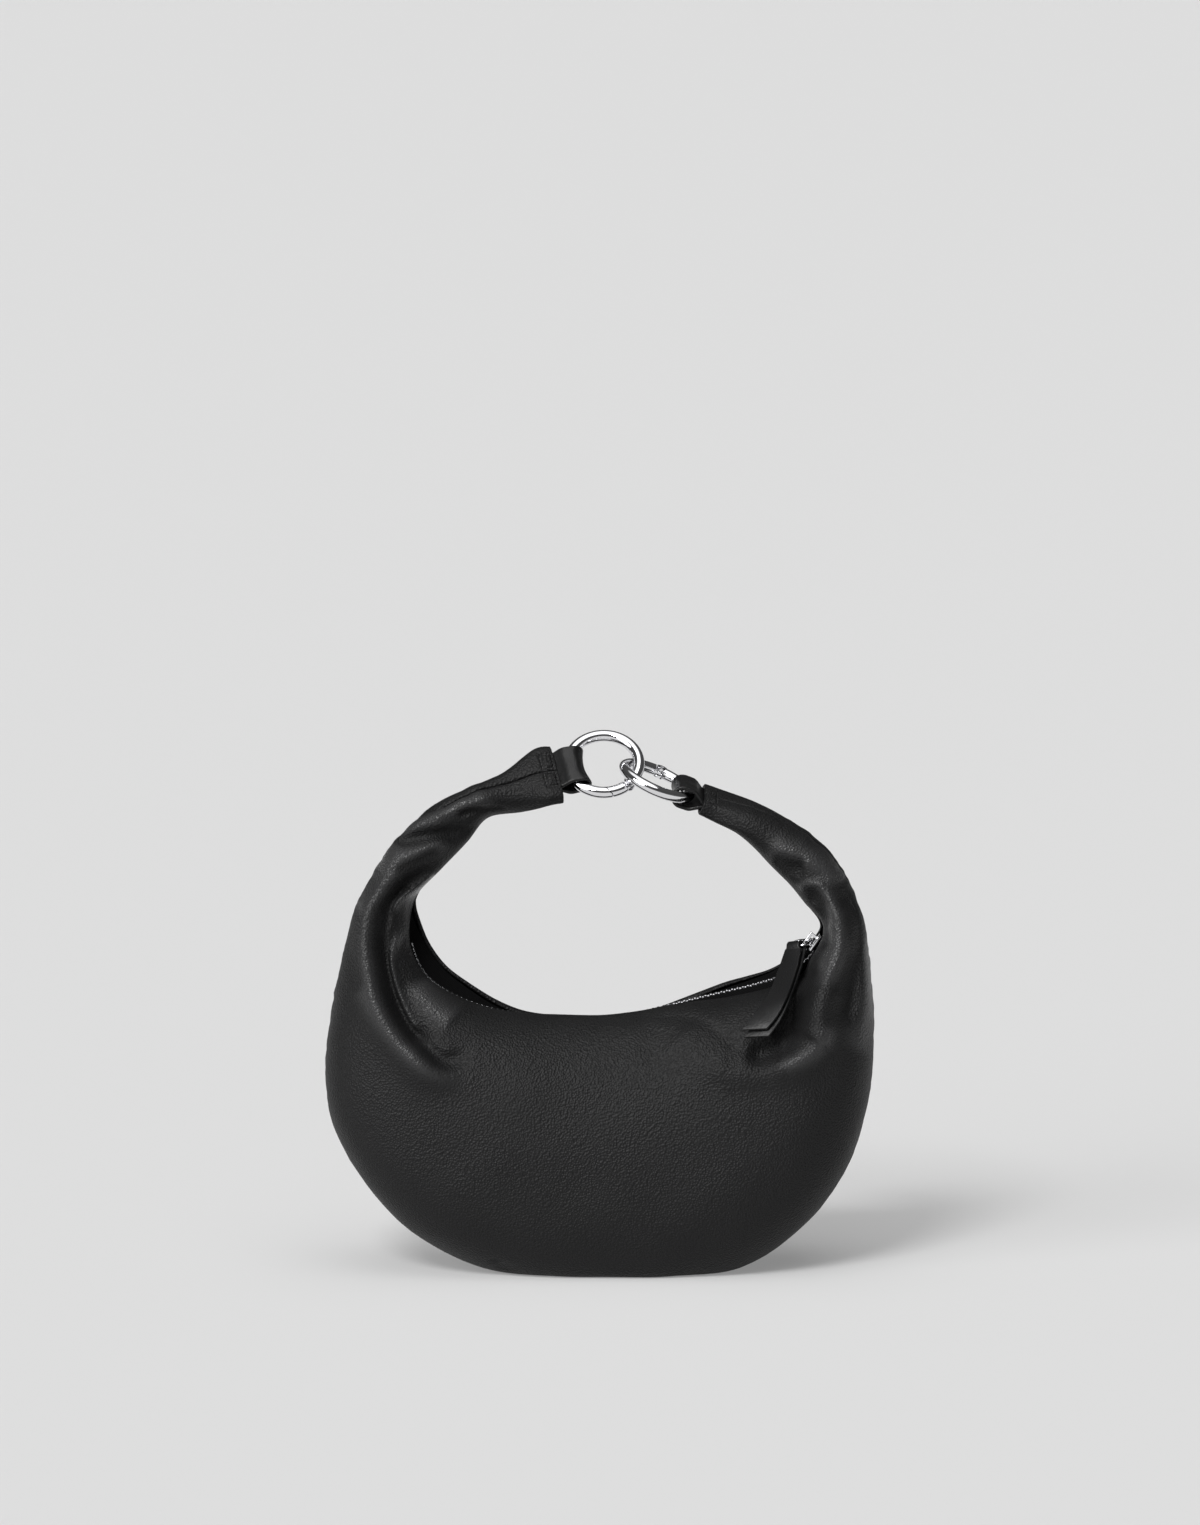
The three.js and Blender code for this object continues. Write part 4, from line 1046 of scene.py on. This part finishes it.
def block(size, at, turn=0):
    bpy.ops.object.select_all(action="DESELECT")
    bpy.ops.mesh.primitive_cube_add(size=1, location=at, rotation=(0, 0, math.radians(turn)))
    piece = bpy.context.active_object
    piece.scale = size
    return piece


def settle(piece, matrix, body, *stands_for):
    select_only(piece)
    bpy.ops.object.transform_apply(location=True, rotation=True, scale=True)
    piece.data.transform(matrix)
    bpy.ops.object.shade_smooth_by_angle(angle=math.radians(35))
    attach(piece, body)
    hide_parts(*stands_for)
    piece.data.materials.append(ring_metal)


ring_metal = metal_finish("ring_metal", tone=(0.82, 0.82, 0.84, 1), rough_low=0.04, rough_high=0.08)


# The gate's nose and the wire's end are cut by parallel planes that lean back, so it can open
def nose_cut(edge, way):
    size = 4 * wire
    turn = -90 - gate_sweep / 2 + nose_lean
    nose = flat_point(ring_radius, -gate_sweep)
    away = flat_point(edge + way * size / 2, turn)
    return block((size, size, size), (nose[0] + away[0], nose[1] + away[1], 0), turn)


def spring_ring(side, matrix):
    pin_at = (ring_radius, 0, 0)
    body = arc_of_ring(f"{side}_wire", 0, 360 - gate_sweep + nose_spare)
    combine(body, nose_cut(nose_gap, -1), "DIFFERENCE")
    combine(body, rod(fork_radius, fork_high, pin_at), "UNION")
    combine(body, block(fork_slot, pin_at), "DIFFERENCE")
    combine(body, rod(hole_radius, hole_deep, pin_at), "DIFFERENCE")
    cut_corners(body, fork_round, segments=2, angle=40)
    settle(body, matrix, "bag", f"{side}_ring")
    gate = arc_of_ring(f"{side}_spring_gate", 360 - gate_sweep - nose_spare, 360 - gate_start)
    combine(gate, nose_cut(0, 1), "DIFFERENCE")
    slot_turn = -gate_sweep * spring_share
    slot_at = (*flat_point(ring_radius - wire, slot_turn), 0)
    combine(gate, block(spring_slot, slot_at, slot_turn), "DIFFERENCE")
    combine(gate, block(tongue_arm, tongue_arm_at), "UNION")
    combine(gate, rod(tongue_radius, tongue_thick, pin_at), "UNION")
    combine(gate, rod(hole_radius, hole_deep, pin_at), "DIFFERENCE")
    cut_corners(gate, gate_round, segments=2, angle=40)
    settle(gate, matrix, f"{side}_gate", f"{side}_gate")
    pin = rod(pin_radius, fork_high, pin_at)
    cut_corners(pin, pin_round, segments=3, angle=40)
    pin.name = f"{side}_pin"
    settle(pin, matrix, "bag", f"{side}_gate_pin")


spring_ring("left", ring_matrix(left_ring_at, left_out, left_side, left_hinge))
spring_ring("right", ring_matrix(right_ring_at, right_out, right_side, right_hinge))

# Leather loops
# A strip of the bag's leather round each ring, its tails sewn into the flattened end of the arm.
# The fold follows the curve of the ring's wire.
loop_width = 20.7
loop_thick = 1.8
loop_reach = 6.3
loop_gap = 0.15
loop_fit = 0.95
fold_hollow = 1.9
strap_round = 0.8
strap_tail = 1
strap_mouth = -0.3
free_from = -1
free_length = 3
strap_wave = 0.45
wave_along = 6
wave_across = 7
thinnest = 0.0004


# Path of a loop seen from its side: out from the hem, round the ring's wire and back
def strap_path(across):
    flat = loop_gap + loop_thick / 2
    bend = ring_wire / 2 + loop_fit + loop_thick / 2
    reach = loop_reach + wire_circle - math.sqrt(wire_circle ** 2 - (loop_width / 2) ** 2)
    reach -= fold_hollow * (1 - (across * 2 / loop_width) ** 2)
    pinch = math.acos((bend - flat) / loop_reach)
    half = [(x, flat) for x in np.linspace(-hem_depth + strap_tail, strap_mouth, 8)]
    half += [(loop_reach + bend * math.cos(a), bend * math.sin(a))
             for a in np.linspace(math.pi - pinch, math.pi / 2, 12)]
    half += [(reach + bend * math.cos(a), bend * math.sin(a))
             for a in np.linspace(math.pi / 2, 0, 14)]
    return np.array(half + [(x, -y) for x, y in reversed(half[:-1])])


def strap(name, hem, out, across_way, face, node, seed):
    edge = loop_width / 2 - strap_round
    turns = np.linspace(0, math.pi / 2, 6)[1:]
    widths = np.concatenate([np.linspace(0, edge, 12), edge + strap_round * np.sin(turns)])
    widths = np.concatenate([-widths[:0:-1], widths])
    columns_out, columns_in = [], []
    for across in widths:
        past = max(0, abs(across) - edge) / strap_round
        thick = loop_thick / 2 * math.sqrt(max(thinnest, 1 - past ** 2))
        path = strap_path(across)
        ahead = np.gradient(path, axis=0)
        ahead /= np.linalg.norm(ahead, axis=1, keepdims=True)
        normal = np.stack([-ahead[:, 1], ahead[:, 0]], axis=1)
        wave = np.array([noise.noise(Vector((x / wave_along, across / wave_across,
                                             seed + y / wave_along))) for x, y in path])
        free = np.clip((path[:, 0] - free_from) / free_length, 0, 1)
        middle = path + normal * (strap_wave * wave * free)[:, None]
        for column, sign in ((columns_out, 1), (columns_in, -1)):
            flat = middle + sign * normal * thick
            column.append(hem + flat[:, :1] * out + flat[:, 1:] * face + across * across_way)
    outer, inner = np.array(columns_out), np.array(columns_in)
    grid = [np.vstack([outer[:, i], inner[::-1, i]]) for i in range(outer.shape[1])]
    faces = loft_faces(len(grid), len(grid[0])) + end_faces(len(grid), len(grid[0]))
    piece = make_piece(name, np.vstack(grid), faces, "bag", "leather", node)
    piece.data.materials.append(loop_leather)


loop_leather = leather_finish("loop_leather", grain=1000, deep=0.00008, rough_low=0.3,
                              rough_high=0.36, shine=0.3)
for name, hem, out, across_way, node, seed in (
        ("left_strap", (-20.698, 0, 238.75), left_out, left_side, "left_loop", 4),
        ("right_strap", (48.266, 2.057, 225.716), right_out, right_side, "right_loop", 9)):
    out = np.array(out) / np.linalg.norm(out)
    across_way = np.array(across_way) / np.linalg.norm(across_way)
    strap(name, np.array(hem), out, across_way, np.cross(out, across_way), node, seed)
